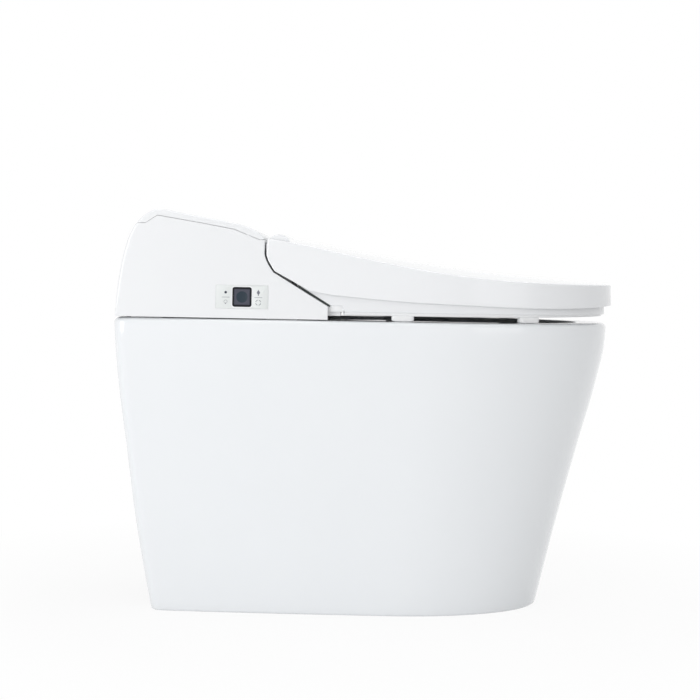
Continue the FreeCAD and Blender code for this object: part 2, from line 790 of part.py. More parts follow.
def board_rails():
    """Two upright strips of the base plate that hold the control board between them."""
    strips = []
    for y in (board_y - board_gap - board_rail_t, board_y + board_t + 2 * board_gap):
        strips.append(box(board_x0 - board_rail_over, board_x1 + board_rail_over, y, y + board_rail_t,
                          base_z1, base_z1 + board_rail_h))
    return strips


def base_plate():
    half = house_half_w - house_wall - edge_gap
    plate = box(from_rear(house_rear)[0][0] + house_wall + base_rear_gap, cheek_x - house_wall - edge_gap,
                -half, half, base_z0, base_z1)
    side = recess_half_w + base_cut_gap
    plate = plate.cut(box(base_cut_x, far, -side, side, 0, far))
    plate = fuse_all([plate] + board_rails())
    cuts = [cyl_z(inlet_x, inlet_y, inlet_neck_r + fit_gap, 0, far)]
    cuts += [cyl_z(deck_bolt_x, s * deck_bolt_y, closet_hole_r, 0, far) for s in (1, -1)]
    cuts.append(cyl_z(rim_pipe_x, rim_pipe_y, rim_pipe_r + fit_gap, 0, far))
    cuts += [cyl_z(x, s * boss_y, screw_room_r, 0, far) for x, s in boss_places()]
    return only_solid(plate.cut(Part.makeCompound(cuts)))


def deck_gaskets():
    pads = []
    for x in (gasket_rear_x, gasket_front_x):
        for y in (gasket_side_y, gasket_mid_y):
            pads.append(box(x, x + gasket_len, y, y + gasket_w, rim_z, base_z0))
    return pairs(pads)


def deck_bolt():
    x, y = deck_bolt_x, deck_bolt_y
    under = rim_z - deck_t
    nut_z = base_z1 + washer_t
    low_nut_z = under - under_washer_t
    parts = [cyl_z(x, y, deck_bolt_r, under - deck_bolt_under, base_z1 + deck_bolt_over),
             hexagon(x, y, nut_r, nut_z, nut_z + deck_nut_h), cyl_z(x, y, deck_washer_r, base_z1, nut_z),
             cyl_z(x, y, under_washer_r, low_nut_z, under),
             hexagon(x, y, nut_r, low_nut_z - under_nut_h, low_nut_z)]
    return fuse_all(parts)


def house_outline():
    slope = [(slope_back_x, slope_z(slope_back_x)), (cheek_x, cheek_z), (cheek_x, house_z0)]
    return from_rear(house_rear) + from_hinge(house_crown) + slope


def house_form():
    """Full outside of the unit, cover included, with softened side edges."""
    block = side_prism(house_outline(), -house_half_w, house_half_w)
    rim = []
    for e in block.Edges:
        mid = e.BoundBox.Center
        flat = abs(abs(mid.y) - house_half_w) < tiny and e.BoundBox.YLength < tiny
        if flat and mid.z > house_z0 + house_round and mid.x < soft_end_x:
            rim.append(e)
    return block.makeFillet(house_round, rim)


def house_hollow():
    """The room inside the housing's wall, open below."""
    wire = Part.makePolygon([vec(x, 0, z) for x, z in house_outline() + house_outline()[:1]])
    inner = Part.Face(wire).makeOffset2D(-house_wall)
    half = house_half_w - house_wall
    face = Part.Face(inner.Wires[0]) if not inner.Faces else inner.Faces[0]
    room = face.extrude(vec(0, half, 0)).fuse(face.extrude(vec(0, -half, 0))).removeSplitter()
    x0 = from_rear(house_rear)[0][0] + house_wall
    x1 = cheek_x - house_wall
    z0 = house_z0 - 2 * over
    z1 = house_z0 + 2 * house_wall
    return room.fuse(side_prism([(x0, z0), (x1, z0), (x1, z1), (x0 + 0.6, z1)], -half, half))


def above_line(lift):
    """Everything above the parting line of the top cover."""
    points = [(x, z + lift) for x, z in from_rear(cover_rear) + from_hinge(cover_front)]
    return side_prism(points + [(points[-1][0], far), (points[0][0], far)], -far, far)


def screw_boss(x, s):
    """Post for a base screw, webbed to the side wall."""
    web = boss_rear_web if x == boss_rear_x else boss_front_web
    ends = sorted((s * boss_y, s * (house_half_w - house_wall / 2)))
    boss = box(x - boss_r, x + web, ends[0], ends[1], base_z1, base_z1 + boss_h)
    return boss.fuse(cyl_z(x, s * boss_y, boss_r, base_z1, base_z1 + boss_h))


def house_cuts():
    """Screw pilots, nozzle mouth, control pocket, cord hole and rear vents."""
    cuts = [cyl_z(x, s * boss_y, boss_pilot_r, 0, base_z1 + boss_pilot_h) for x, s in boss_places()]
    cuts.append(recess_box(mouth_half_w, mouth_x0, mouth_x1, -recess_depth - mouth_drop,
                           guide_half_h + mouth_rise))
    side = -house_half_w
    half_l = plate_len / 2 + hole_gap
    half_h = plate_h / 2 + hole_gap
    cuts.append(box(plate_x - half_l, plate_x + half_l, side - over, side + plate_t - plate_proud,
                    plate_z - half_h, plate_z + half_h))
    cuts.append(button_room(side - over, side + house_wall + over))
    wall_x = rim_rear_x + house_rear[4][0]
    cuts.append(cyl_x(gland_y, gland_z, gland_r + hole_gap, -far, wall_x))
    for i in range(vent_rows):
        y = vent_y0 + vent_pitch * i
        cuts.append(box(-far, wall_x, y, y + vent_w, vent_z0, vent_z0 + vent_h))
    return Part.makeCompound(cuts)


def main_housing():
    outside = house_form()
    body = outside.cut(house_hollow()).cut(above_line(0))
    for x, s in boss_places():
        body = body.fuse(screw_boss(x, s))
    return only_solid(body.common(outside).removeSplitter().cut(house_cuts()))


def top_cover():
    return only_solid(house_form().cut(house_hollow()).common(above_line(cover_gap)))


def housing_screws():
    z0 = base_z0 + hole_gap * 2
    return Part.makeCompound([cyl_z(x, s * boss_y, screw_r, z0, base_z1 + screw_len) for x, s in boss_places()])


def front_rail():
    bar = box(cheek_x, rail_x, -rail_half_w, rail_half_w, rail_z0, rail_z1)
    return bar.makeFillet(rail_round, [e for e in bar.Edges if e.BoundBox.XMin > rail_x - tiny])


def power_gland():
    body = cyl_x(gland_y, gland_z, gland_r, gland_x, gland_x + gland_len)
    nut_x = gland_x + house_wall + gland_nut_gap
    nut = cyl_x(gland_y, gland_z, gland_nut_r, nut_x, nut_x + gland_nut_t)
    return body.fuse(nut).removeSplitter().cut(cyl_x(gland_y, gland_z, gland_bore_r, -far, 0))


# ---- controls ----
def button_room(y0, y1):
    return face_box(plate_x, plate_z, button_w / 2 + button_gap, button_h / 2 + button_gap, button_r, y0, y1)


def control_plate():
    y0 = -house_half_w - plate_proud
    pad = box(plate_x - plate_len / 2, plate_x + plate_len / 2, y0, y0 + plate_t,
              plate_z - plate_h / 2, plate_z + plate_h / 2)
    return pad.cut(button_room(y0 - over, y0 + plate_t + over))


def side_button():
    """Dished cap that slides through the wall, kept by a lip, with a stem to the switch."""
    face_y = -house_half_w - plate_proud - button_proud
    inside = -house_half_w + house_wall + fit_gap / 2
    cap = face_box(plate_x, plate_z, button_w / 2, button_h / 2, button_r, face_y, inside + button_skirt)
    dish = Part.makeSphere(dish_r, vec(plate_x, face_y + dish_depth - dish_r, plate_z))
    lip = face_box(plate_x, plate_z, button_w / 2 + button_lip, button_h / 2 + button_lip, button_r,
                   inside, inside + button_lip_t)
    stem = cyl_y(plate_x, plate_z, button_stem_r, inside + over, switch_y - button_travel - hole_gap)
    return fuse_all([cap, lip, stem]).cut(dish)


def control_board():
    z0 = base_z1 + board_lift
    back = board_y + board_t
    board = box(board_x0, board_x1, board_y, back, z0, z0 + board_h)
    switch = box(plate_x - switch_half, plate_x + switch_half, switch_y, board_y,
                 plate_z - switch_half, plate_z + switch_half)
    chips = []
    for i in range(chip_count):
        x = board_x0 + board_rail_over + 2 + chip_pitch * i
        chips.append(box(x, x + chip_len, back, back + chip_t + 3 * i, z0 + chip_z0, z0 + chip_z0 + chip_len))
    return fuse_all([board, switch] + chips)


def power_supply():
    top = base_z1 + psu_h
    body = box(psu_x, psu_x + psu_len, psu_y, psu_y + psu_w, base_z1, top)
    fins = []
    for i in range(fin_count):
        x = psu_x + fin_t + fin_pitch * i
        fins.append(box(x, x + fin_t, psu_y + fin_set, psu_y + psu_w - fin_set, top, top + fin_h))
    return fuse_all([body] + fins)


# ---- nozzles ----
def nozzle_guide():
    block = along_nozzle(box(guide_x0, guide_x1, -guide_half_w, guide_half_w, -guide_half_h, guide_half_h))
    foot = side_prism([(nozzle_tip_x + x, z) for x, z in guide_foot], -guide_half_w, guide_half_w)
    body = block.fuse(foot)
    bores = [along_nozzle(cyl_x(s * nozzle_y, 0, nozzle_r + nozzle_gap, -far, far)) for s in (1, -1)]
    side = nozzle_y + slot_over
    slot = along_nozzle(box(guide_x0 - over, guide_x1 + over, -side, side, nozzle_r - over,
                            guide_half_h + over))
    return only_solid(body.cut(Part.makeCompound(bores)).cut(slot).removeSplitter())


def nozzle_body(y):
    shoulder = -tip_len - socket_len
    rod = cyl_x(y, 0, nozzle_r, -nozzle_len, -tip_len)
    bore = cyl_x(y, 0, nozzle_bore_r, -nozzle_len - over, shoulder)
    socket = cyl_x(y, 0, socket_r, shoulder, -tip_len + over)
    return along_nozzle(rod.cut(bore).cut(socket))


def nozzle_tip(y, holes):
    """Rounded spray head with a spigot in the rod, a flat on top and a row of jets."""
    head = cyl_x(y, 0, nozzle_r, -tip_len, 0)
    head = head.makeFillet(tip_round, [e for e in head.Edges if e.BoundBox.XMin > -tiny])
    spigot = cyl_x(y, 0, socket_r - hole_gap, -tip_len - socket_len + 2 * hole_gap, -tip_len)
    head = head.fuse(spigot).removeSplitter()
    flat = box(-16, -tip_round, y - socket_r, y + socket_r, nozzle_r - 0.8, nozzle_r + over)
    jets = [cyl_z(-12 + jet_pitch * i, y, jet_r, 2, nozzle_r + over) for i in range(holes)]
    return along_nozzle(head.cut(flat).cut(Part.makeCompound(jets)))


def nozzle_motor():
    side = guide_half_w + motor_flange_t
    flange = box(motor_x - motor_half, motor_x + motor_half, guide_half_w, side, -guide_half_h, guide_half_h)
    return along_nozzle(flange.fuse(cyl_y(motor_x, 0, motor_r, side, side + motor_len)))


# ---- warm air ----
def blower_axis():
    tilt = math.radians(nozzle_tilt)
    x = nozzle_tip_x + fan_x * math.cos(tilt) + fan_z * math.sin(tilt)
    z = nozzle_tip_z - fan_x * math.sin(tilt) + fan_z * math.cos(tilt)
    return vec(x, 0, z)


def duct_room(x0, x1):
    half_h = duct_half_h - duct_wall
    return box(x0, x1, duct_y0 + duct_wall, duct_y1 - duct_wall, -half_h, half_h)


def blower_case():
    """Drum with a neck into the duct, a round mouth at one side and a foot on the base plate."""
    y0, y1 = duct_y0, duct_y1
    skin = fan_case_wall
    drum = cyl_y(fan_x, fan_z, fan_case_r, y0, y1)
    neck = box(fan_x, duct_x0, y0, y1, -duct_half_h, duct_half_h)
    room = cyl_y(fan_x, fan_z, fan_case_r - skin, y0 + skin, y1 - skin)
    mouth = cyl_y(fan_x, fan_z, fan_mouth_r, y1 - skin - over, y1 + over)
    shaft_hole = cyl_y(fan_x, fan_z, 2 * blower_shaft_r, y0 - over, y0 + skin + over)
    body = fuse_all([drum, neck]).cut(room).cut(duct_room(fan_x, duct_x0 + over)).cut(mouth).cut(shaft_hole)
    axis = blower_axis()
    foot = box(axis.x - blower_foot_half, axis.x + blower_foot_half, y0 + 6, y1 - 6, base_z1,
               axis.z - fan_case_r + 4)
    foot = foot.cut(cyl_y(axis.x, axis.z, fan_case_r - over, y0 - over, y1 + over))
    return only_solid(along_nozzle(body).fuse(foot).removeSplitter())


def blower_motor():
    can = cyl_y(fan_x, fan_z, blower_can_r, duct_y0 - blower_can_len, duct_y0)
    shaft = cyl_y(fan_x, fan_z, blower_shaft_r, duct_y0 - over, duct_y1 - 12)
    return along_nozzle(can.fuse(shaft).removeSplitter())


def blower_wheel():
    """Squirrel-cage wheel: a disc with its hub, a shroud ring and curved-forward blades."""
    y0 = duct_y0 + 6
    y1 = duct_y1 - 6
    disc = cyl_y(fan_x, fan_z, fan_wheel_r, y0, y0 + 2)
    hub = cyl_y(fan_x, fan_z, 6, y0, y0 + 14)
    ring = cyl_y(fan_x, fan_z, fan_wheel_r, y1 - 2, y1)
    ring = ring.cut(cyl_y(fan_x, fan_z, fan_wheel_r - 4, y1 - 3, y1 + over))
    blades = []
    for i in range(fan_blades):
        blade = box(fan_x + fan_wheel_r - 6, fan_x + fan_wheel_r - 0.5, y0 + over, y1 - over,
                    fan_z - 0.6, fan_z + 0.6)
        blade.rotate(vec(fan_x + fan_wheel_r - 3, 0, fan_z), vec(0, 1, 0), fan_blade_deg)
        blade.rotate(vec(fan_x, 0, fan_z), vec(0, 1, 0), 360.0 * i / fan_blades)
        blades.append(blade)
    wheel = fuse_all([disc, hub, ring] + blades)
    return along_nozzle(wheel.cut(cyl_y(fan_x, fan_z, blower_shaft_r + run_gap, y0 - over, y0 + 20)))


def warm_air_duct():
    outer = box(duct_x0, duct_x1, duct_y0, duct_y1, -duct_half_h, duct_half_h)
    ears = [box(duct_x1 - 8, duct_x1 + duct_ear, y, y + duct_wall, -duct_half_h, duct_half_h + 5)
            for y in (duct_y0, duct_y1 - duct_wall)]
    body = fuse_all([outer] + ears).cut(duct_room(duct_x0 - over, duct_x1 + over))
    return along_nozzle(body.cut(cyl_y(flap_x, flap_z, flap_pin_r + run_gap, duct_y0 - over, duct_y1 + over)))


def warm_air_flap():
    y0 = duct_y0 + duct_wall + flap_gap
    y1 = duct_y1 - duct_wall - flap_gap
    pin = cyl_y(flap_x, flap_z, flap_pin_r, duct_y0 + flap_gap / 2, duct_y1 - flap_gap / 2)
    leaf = box(flap_x - over, flap_x - over + flap_t, y0, y1, flap_z - flap_h, flap_z)
    return along_nozzle(pin.fuse(leaf).removeSplitter())


def night_light():
    """Lens beside the nozzles, on a stem that stands on the base plate."""
    y1 = lens_y0 + lens_w
    lens = box(lens_x0, duct_x1, lens_y0, y1, lens_z0, lens_z1)
    lens = lens.makeFillet(2, [e for e in lens.Edges if e.BoundBox.XMin > duct_x1 - tiny])
    stem = box(lens_x0 - 20, lens_x0, lens_y0 + 8, y1 - 8, lens_z0 + 2, lens_z1 - 2)
    foot = box(light_foot_x, light_foot_x + 10, lens_y0 + 10, y1 - 10, base_z1, rim_z + 22)
    return along_nozzle(lens.fuse(stem)).fuse(foot).removeSplitter()


# ---- deodoriser ----
def deodoriser_case():
    """Box with a slot for the filter below and a round bore with a fan post above."""
    z = base_z1
    body = box(deo_x - deo_half_x, deo_x + deo_half_x, deo_y - deo_half_y, deo_y + deo_half_y, z, z + deo_h)
    side = deo_half_x - deo_wall
    slot_z1 = z + filter_z0 + filter_h + filter_z0
    slot = box(deo_x - side, deo_x + side, deo_y - deo_half_y - 2 * over, deo_y + deo_half_y - deo_wall,
               z + filter_z0, slot_z1)
    bore = cyl_z(deo_x, deo_y, fan_bore_r, slot_z1 - 2 * over, z + deo_h + 2 * over)
    bridge = box(deo_x - fan_bore_r - 2, deo_x + fan_bore_r + 2, deo_y - fan_post_r, deo_y + fan_post_r,
                 slot_z1 + over, slot_z1 + 4 * over)
    post = cyl_z(deo_x, deo_y, fan_post_r, slot_z1 + 2 * over, z + 42)
    return only_solid(fuse_all([body.cut(slot).cut(bore), bridge, post]))


def carbon_filter():
    z0 = base_z1 + filter_z0
    side = deo_half_x - deo_wall - 0.5
    front = deo_y + deo_half_y - deo_wall - 0.5
    body = box(deo_x - side, deo_x + side, deo_y - deo_half_y + 0.5, front, z0, z0 + filter_h)
    grooves = []
    for i in range(filter_grooves):
        x = deo_x - side + 3 + filter_pitch * i
        grooves.append(box(x, x + filter_groove_w, deo_y - 24, front - 4,
                           z0 + filter_h - 3, z0 + filter_h + over))
    return body.cut(Part.makeCompound(grooves))


def deodoriser_fan():
    z = base_z1
    hub = cyl_z(deo_x, deo_y, fan_hub_r, z + 28, z + 44)
    blades = []
    for i in range(fan_vanes):
        blade = box(deo_x + fan_hub_r - 2, deo_x + fan_reach, deo_y - 0.6, deo_y + 0.6, z + 29, z + 43)
        blade.rotate(vec(deo_x, deo_y, z + 36), vec(1, 0, 0), fan_vane_deg)
        blade.rotate(vec(deo_x, deo_y, 0), vec(0, 0, 1), 360.0 * i / fan_vanes)
        blades.append(blade)
    return fuse_all([hub] + blades).cut(cyl_z(deo_x, deo_y, fan_post_r + run_gap, z, z + 42 + fit_gap))


# ---- hinge ----
def hinge_block():
    """Post that stands on the housing's slope and carries one shaft and one damper."""
    knuckle = cyl_y(hinge_x, hinge_z, block_r, block_y0, block_y1)
    x0, x1 = hinge_x + block_post[0], hinge_x + block_post[1]
    top = hinge_z - block_foot_t
    post = side_prism([(x0, slope_z(x0)), (x1, slope_z(x1)), (x1, top), (x0, top)], block_y0, block_y1)
    x0 -= block_foot[0]
    x1 += block_foot[1]
    foot = side_prism([(x0, slope_z(x0)), (x1, slope_z(x1)), (x1, slope_z(x1) + block_foot_t),
                       (x0, slope_z(x0) + block_foot_t)], block_y0, block_y1)
    body = fuse_all([knuckle, post, foot])
    body = body.cut(cyl_y(hinge_x, hinge_z, damper_r + fit_gap, block_y0 - over, block_y0 + damper_len + 0.5))
    return body.cut(cyl_y(hinge_x, hinge_z, shaft_r + shaft_fit, block_y0, block_y1 + over))


def damper():
    half_t, key_len, half_h = damper_key
    body = cyl_y(hinge_x, hinge_z, damper_r, block_y0, block_y0 + damper_len)
    return body.fuse(box(hinge_x - half_t, hinge_x + half_t, block_y0 - key_len, block_y0,
                         hinge_z - half_h, hinge_z + half_h))


def hinge_shaft():
    shaft = cyl_y(hinge_x, hinge_z, shaft_r, block_y0 + damper_len + 0.4, roll_end_y - over)
    return shaft.makeChamfer(shaft_chamfer, [e for e in shaft.Edges if e.BoundBox.YLength < tiny])


# ---- seat ----
def dome_form(drop):
    """Everything below the lid's domed top, lowered by drop."""
    wires = []
    low = rim_z - deck_t
    w = dome_half_w
    for x, crown, fall in dome_rows:
        top = rim_z + crown - drop
        side = top - fall
        arc = Part.Arc(vec(x, -w, side), vec(x, 0, top), vec(x, w, side)).toShape()
        right = Part.makeLine(vec(x, w, side), vec(x, w, low))
        base = Part.makeLine(vec(x, w, low), vec(x, -w, low))
        left = Part.makeLine(vec(x, -w, low), vec(x, -w, side))
        wires.append(Part.Wire([arc, right, base, left]))
    return Part.makeLoft(wires, True, False)


def plan_block(rear_x, rear_w, wide_w, front_x, inset, z0, z1=far):
    """Plan outline moved in by inset and raised from z0 to z1."""
    wire = outline(z0, rear_x + inset, rear_w - inset, rim_wide_x, wide_w - inset, front_x - inset,
                   plan_corner_r)
    return Part.Face(wire).extrude(vec(0, 0, z1 - z0))


def hole_form(grow):
    sections = [ring_section(rim_z + z, a - grow, seat_tip_x - b + grow, w + grow) for z, a, b, w in hole_rows]
    return Part.makeLoft(sections, True, False)


def seat_side(inset):
    """Side view of the seat: flat below, sloping up along the housing, upright at the hinge."""
    x0 = rail_x + seat_gap + inset
    x1 = seat_rear_x + inset
    knee = cheek_x + seat_knee + inset
    clear = seat_gap + inset / math.cos(math.radians(slope_deg))
    return side_prism([(x0, 0), (x0, slope_z(knee) + clear), (knee, slope_z(knee) + clear),
                       (x1, slope_z(x1) + clear), (x1, far), (far, far), (far, 0)], -far, far)


def seat_form(inset, drop, z0, z1=far):
    block = plan_block(seat_rear_x - seat_rear_over, seat_rear_half_w, seat_half_w, seat_tip_x, inset, z0, z1)
    block = block.common(dome_form(drop)).common(seat_side(inset))
    return block.cut(hole_form(inset))


def seat_arm():
    knuckle = cyl_y(hinge_x, hinge_z, arm_r, arm_y0, arm_y1)
    return knuckle.fuse(side_prism(from_hinge(arm_link), arm_y0, arm_y1))


def seat_upper_shell():
    skin = seat_form(0, seat_drop, seat_split_z)
    room = seat_form(seat_skin, seat_drop + seat_skin, seat_split_z - over)
    body = only_solid(skin.cut(room))
    for arm in (seat_arm(), mirrored(seat_arm())):
        body = body.fuse(arm)
    bore = cyl_y(hinge_x, hinge_z, shaft_r + run_gap, -roll_end_y, roll_end_y)
    return only_solid(body.cut(bore).removeSplitter())


def seat_tray():
    tray = seat_form(tray_inset, seat_drop, seat_bottom_z, seat_split_z)
    low = [e for e in tray.Edges if e.BoundBox.ZMax < seat_bottom_z + tiny]
    tray = tray.makeChamfer(tray_chamfer, low)
    pocket = seat_form(tray_inset + tray_wall, seat_drop, seat_bottom_z + tray_wall)
    return only_solid(tray.cut(pocket))


def seat_heater():
    """Foil under the seat's skin."""
    ring = seat_form(heat_inset, seat_drop + seat_skin + heat_gap, seat_split_z)
    return only_solid(ring.cut(dome_form(seat_drop + seat_skin + heat_gap + heat_t)))


def seat_sensor():
    top_drop = seat_drop + seat_skin + sensor_gap
    pod = box(sensor_x, sensor_x + sensor_w, sensor_y, sensor_y + sensor_w, seat_split_z, far)
    return pod.common(dome_form(top_drop)).cut(dome_form(top_drop + sensor_t))


def seat_bumper(x, y, turn):
    pad = post_box(x - bumper_half_x, x + bumper_half_x, y - bumper_half_y, y + bumper_half_y,
                   rim_z + fit_gap, seat_bottom_z, bumper_corner_r)
    pad.rotate(vec(x, y, 0), vec(0, 0, 1), turn)
    return pad


# ---- lid ----
def roll_form():
    """Hinge roll: a cylinder that swells towards the middle."""
    y = roll_end_y
    z = hinge_z + roll_r
    a = vec(hinge_x, -y, hinge_z)
    b = vec(hinge_x, y, hinge_z)
    arc = Part.Arc(vec(hinge_x, -y, z), vec(hinge_x, 0, hinge_z + roll_mid_r), vec(hinge_x, y, z))
    wire = Part.Wire([arc.toShape(), Part.makeLine(vec(hinge_x, y, z), b), Part.makeLine(b, a),
                      Part.makeLine(a, vec(hinge_x, -y, z))])
    return Part.Face(wire).revolve(a, vec(0, 1, 0), 360)


def lid_side():
    """Side view of the lid: rear edge round the hinge, sloping cheek line and skirt."""
    drop = lid_gap / math.cos(math.radians(slope_deg))
    foot_x = slope_back_x + 1.2
    throat = from_hinge(lid_throat) + [(foot_x, slope_z(foot_x) + drop)]
    cheek = [(lid_cheek_x, slope_z(lid_cheek_x) + drop + lid_cheek_rise)]
    skirt = [(x, rim_z + z) for x, z in lid_skirt]
    ends = [(far, skirt[-1][1]), (far, far), (throat[0][0], far)]
    return side_prism(throat + cheek + skirt + ends, -far, far)


def roll_sector(y_half):
    """Open part of the roll, from its rear lip round below to the web."""
    a, b = math.radians(roll_open_deg), math.radians(roll_web_deg + 360)
    turns = [a + (b - a) * i / 4 for i in range(5)]
    rays = [(roll_sector_r * math.cos(t), roll_sector_r * math.sin(t)) for t in turns]
    return side_prism(from_hinge([(0, 0)] + rays), -y_half, y_half)


def lid_trims():
    """Room for the housing under the roll, for the hinge blocks and for the cheeks' swing."""
    end = roll_end_y + over
    low = hinge_z - roll_r - roll_gap
    under = side_prism([(-far, 0), (-far, low), (lid_room_x, low), (lid_room_x, 0)], -end, end)
    ends = box(-far, hinge_x + roll_r + roll_front, boss_y0, end, hinge_z - roll_end_drop, hinge_z)
    ends = ends.cut(cyl_y(hinge_x, hinge_z, roll_r, boss_y0 - over, end + over))
    horn = box(-far, hinge_x, roll_end_y, far, hinge_z, far)
    horn = horn.cut(cyl_y(hinge_x, hinge_z, roll_sweep_r, roll_end_y - over, far))
    return [under, ends, mirrored(ends), horn, mirrored(horn)]


def lid_shell():
    block = plan_block(lid_rear_x - lid_rear_over, lid_rear_half_w, lid_half_w, lid_tip_x, 0, rim_z)
    dome = dome_form(0).cut(box(-far, hinge_x, -roll_end_y, roll_end_y, 0, far))
    body = block.common(lid_side()).common(dome.fuse(roll_form()))
    room = plan_block(lid_rear_x, lid_rear_half_w, lid_half_w, lid_tip_x, lid_wall, rim_z - deck_t)
    body = body.cut(room.common(dome_form(lid_wall)).common(box(lid_room_x, far, -far, far, 0, far)))
    body = body.cut(cyl_y(hinge_x, hinge_z, roll_bore_r, -boss_y0, boss_y0)).cut(roll_sector(boss_y0))
    for piece in lid_trims():
        body = body.cut(piece)
    body = body.cut(cyl_y(hinge_x, hinge_z, shaft_r + run_gap, -roll_end_y, roll_end_y))
    return only_solid(body.removeSplitter())


def lid_inner_panel():
    sheet = plan_block(lid_rear_x, lid_rear_half_w, lid_half_w, lid_tip_x, lid_wall + fit_gap, rim_z)
    sheet = sheet.common(dome_form(panel_drop)).cut(dome_form(panel_drop + panel_t))
    return only_solid(sheet.common(box(lid_room_x + fit_gap, far, -far, far, 0, far)))


def lid_bumper(x, y):
    pad = cyl_z(x, y, lid_bumper_r, rim_z, far).common(dome_form(panel_drop + panel_t))
    return pad.cut(dome_form(seat_drop - fit_gap))


# ---- assembly ----
skirt, rim, bowl = ceramic_pieces()
parts = {
    "ceramic_skirt": skirt,
    "ceramic_rim": rim,
    "ceramic_bowl": bowl,
    "trapway": trapway(),
    "outlet_seal": outlet_seal(),
    "floor_adapter": floor_adapter(),
    "closet_bolts": pair(closet_bolt()),
    "rim_pipe": rim_pipe(),
    "flush_valve": flush_valve(),
    "water_inlet": water_inlet(),
    "inlet_strainer": strainer(),
    "wash_valve": wash_valve(),
    "instant_heater": instant_heater(),
    "water_hoses": water_hoses(),
    "base_plate": base_plate(),
    "deck_gaskets": deck_gaskets(),
    "deck_bolts": pair(deck_bolt()),
    "main_housing": main_housing(),
    "top_cover": top_cover(),
    "housing_screws": housing_screws(),
    "front_rail": front_rail(),
    "power_gland": power_gland(),
    "control_plate": control_plate(),
    "side_button": side_button(),
    "control_board": control_board(),
    "power_supply": power_supply(),
    "nozzle_guide": nozzle_guide(),
    "rear_nozzle": nozzle_body(-nozzle_y),
    "rear_nozzle_tip": nozzle_tip(-nozzle_y, 3),
    "front_nozzle": nozzle_body(nozzle_y),
    "front_nozzle_tip": nozzle_tip(nozzle_y, 4),
    "nozzle_motors": pair(nozzle_motor()),
    "blower_case": blower_case(),
    "blower_motor": blower_motor(),
    "blower_wheel": blower_wheel(),
    "warm_air_duct": warm_air_duct(),
    "warm_air_flap": warm_air_flap(),
    "night_light": night_light(),
    "deodoriser_case": deodoriser_case(),
    "carbon_filter": carbon_filter(),
    "deodoriser_fan": deodoriser_fan(),
    "hinge_blocks": pair(hinge_block()),
    "lid_damper": mirrored(damper()),
    "seat_damper": damper(),
    "hinge_shafts": pair(hinge_shaft()),
    "seat_upper_shell": seat_upper_shell(),
    "seat_tray": seat_tray(),
    "seat_heater": seat_heater(),
    "seat_sensor": seat_sensor(),
    "seat_bumpers": pairs([seat_bumper(*place) for place in seat_bumper_places]),
    "lid_shell": lid_shell(),
    "lid_inner_panel": lid_inner_panel(),
    "lid_bumpers": pairs([lid_bumper(*place) for place in lid_bumper_places]),
}

os.makedirs("parts", exist_ok=True)
for name, shape in parts.items():
    shape.exportStep("parts/" + name + ".step")
    print(name, round(shape.Volume / 1000, 1), "cm3", len(shape.Solids), "solids", shape.isValid())
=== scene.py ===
import bpy
import bmesh
import json
import math
import numpy as np
from mathutils import Matrix, Vector


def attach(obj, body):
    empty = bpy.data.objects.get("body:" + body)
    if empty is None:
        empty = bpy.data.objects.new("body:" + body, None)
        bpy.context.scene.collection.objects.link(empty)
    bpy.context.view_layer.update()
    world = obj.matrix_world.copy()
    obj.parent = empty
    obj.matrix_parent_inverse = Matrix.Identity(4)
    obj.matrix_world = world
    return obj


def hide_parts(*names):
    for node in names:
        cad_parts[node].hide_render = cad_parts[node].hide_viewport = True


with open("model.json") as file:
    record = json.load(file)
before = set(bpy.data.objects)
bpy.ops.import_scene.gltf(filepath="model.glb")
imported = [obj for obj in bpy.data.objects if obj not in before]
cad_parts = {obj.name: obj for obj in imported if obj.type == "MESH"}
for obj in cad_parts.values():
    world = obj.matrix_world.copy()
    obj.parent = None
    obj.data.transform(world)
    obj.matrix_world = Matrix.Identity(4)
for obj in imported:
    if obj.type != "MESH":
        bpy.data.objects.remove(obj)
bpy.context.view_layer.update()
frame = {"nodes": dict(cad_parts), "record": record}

# ------------------------------------------------------------------ camera
# A long lens at the level of the lid, square to the toilet's right side, with the slight
# roll of the photograph. All lengths in this script are metres, in the toilet's own frame.
view_distance = 2.350
view_height = 0.46375
view_x = -0.0286
view_roll = 0.0187
focal_px = 1640.3
horizon_px = 77.0
frame_px = 700.0
sensor_mm = 36.0

camera_data = bpy.data.cameras.new("camera")
camera_data.sensor_width = sensor_mm
camera_data.lens = sensor_mm * focal_px / frame_px
camera_data.shift_x = -view_roll * horizon_px / frame_px
camera_data.shift_y = -horizon_px / frame_px
camera = bpy.data.objects.new("camera", camera_data)
bpy.context.scene.collection.objects.link(camera)
facing = Matrix.Rotation(math.pi / 2, 4, "X") @ Matrix.Rotation(view_roll, 4, "Z")
camera.matrix_world = Matrix.Translation((view_x, -view_distance, view_height)) @ facing
bpy.context.scene.camera = camera
bpy.context.scene.view_settings.view_transform = "Standard"


# ------------------------------------------------------------------ shader writing
# Finishes are written as expressions: Wire stands for one output of a node, and Finish
# builds one material around a Principled shader.
class Wire:
    def __init__(self, tree, socket):
        self.tree = tree
        self.socket = socket

    def maths(self, operation, other=None, third=None):
        node = self.tree.nodes.new("ShaderNodeMath")
        node.operation = operation
        for i, value in enumerate((self, other, third)):
            if value is not None:
                plug(self.tree, node.inputs[i], value)
        return Wire(self.tree, node.outputs[0])

    def __add__(self, other):
        return self.maths("ADD", other)

    __radd__ = __add__

    def __mul__(self, other):
        return self.maths("MULTIPLY", other)

    __rmul__ = __mul__

    def __sub__(self, other):
        return self.maths("SUBTRACT", other)

    def __rsub__(self, other):
        return (self * -1.0) + other

    def clamp(self, low, high):
        return self.maths("MAXIMUM", low).maths("MINIMUM", high)


def plug(tree, socket, value):
    if isinstance(value, Wire):
        tree.links.new(value.socket, socket)
    else:
        socket.default_value = value


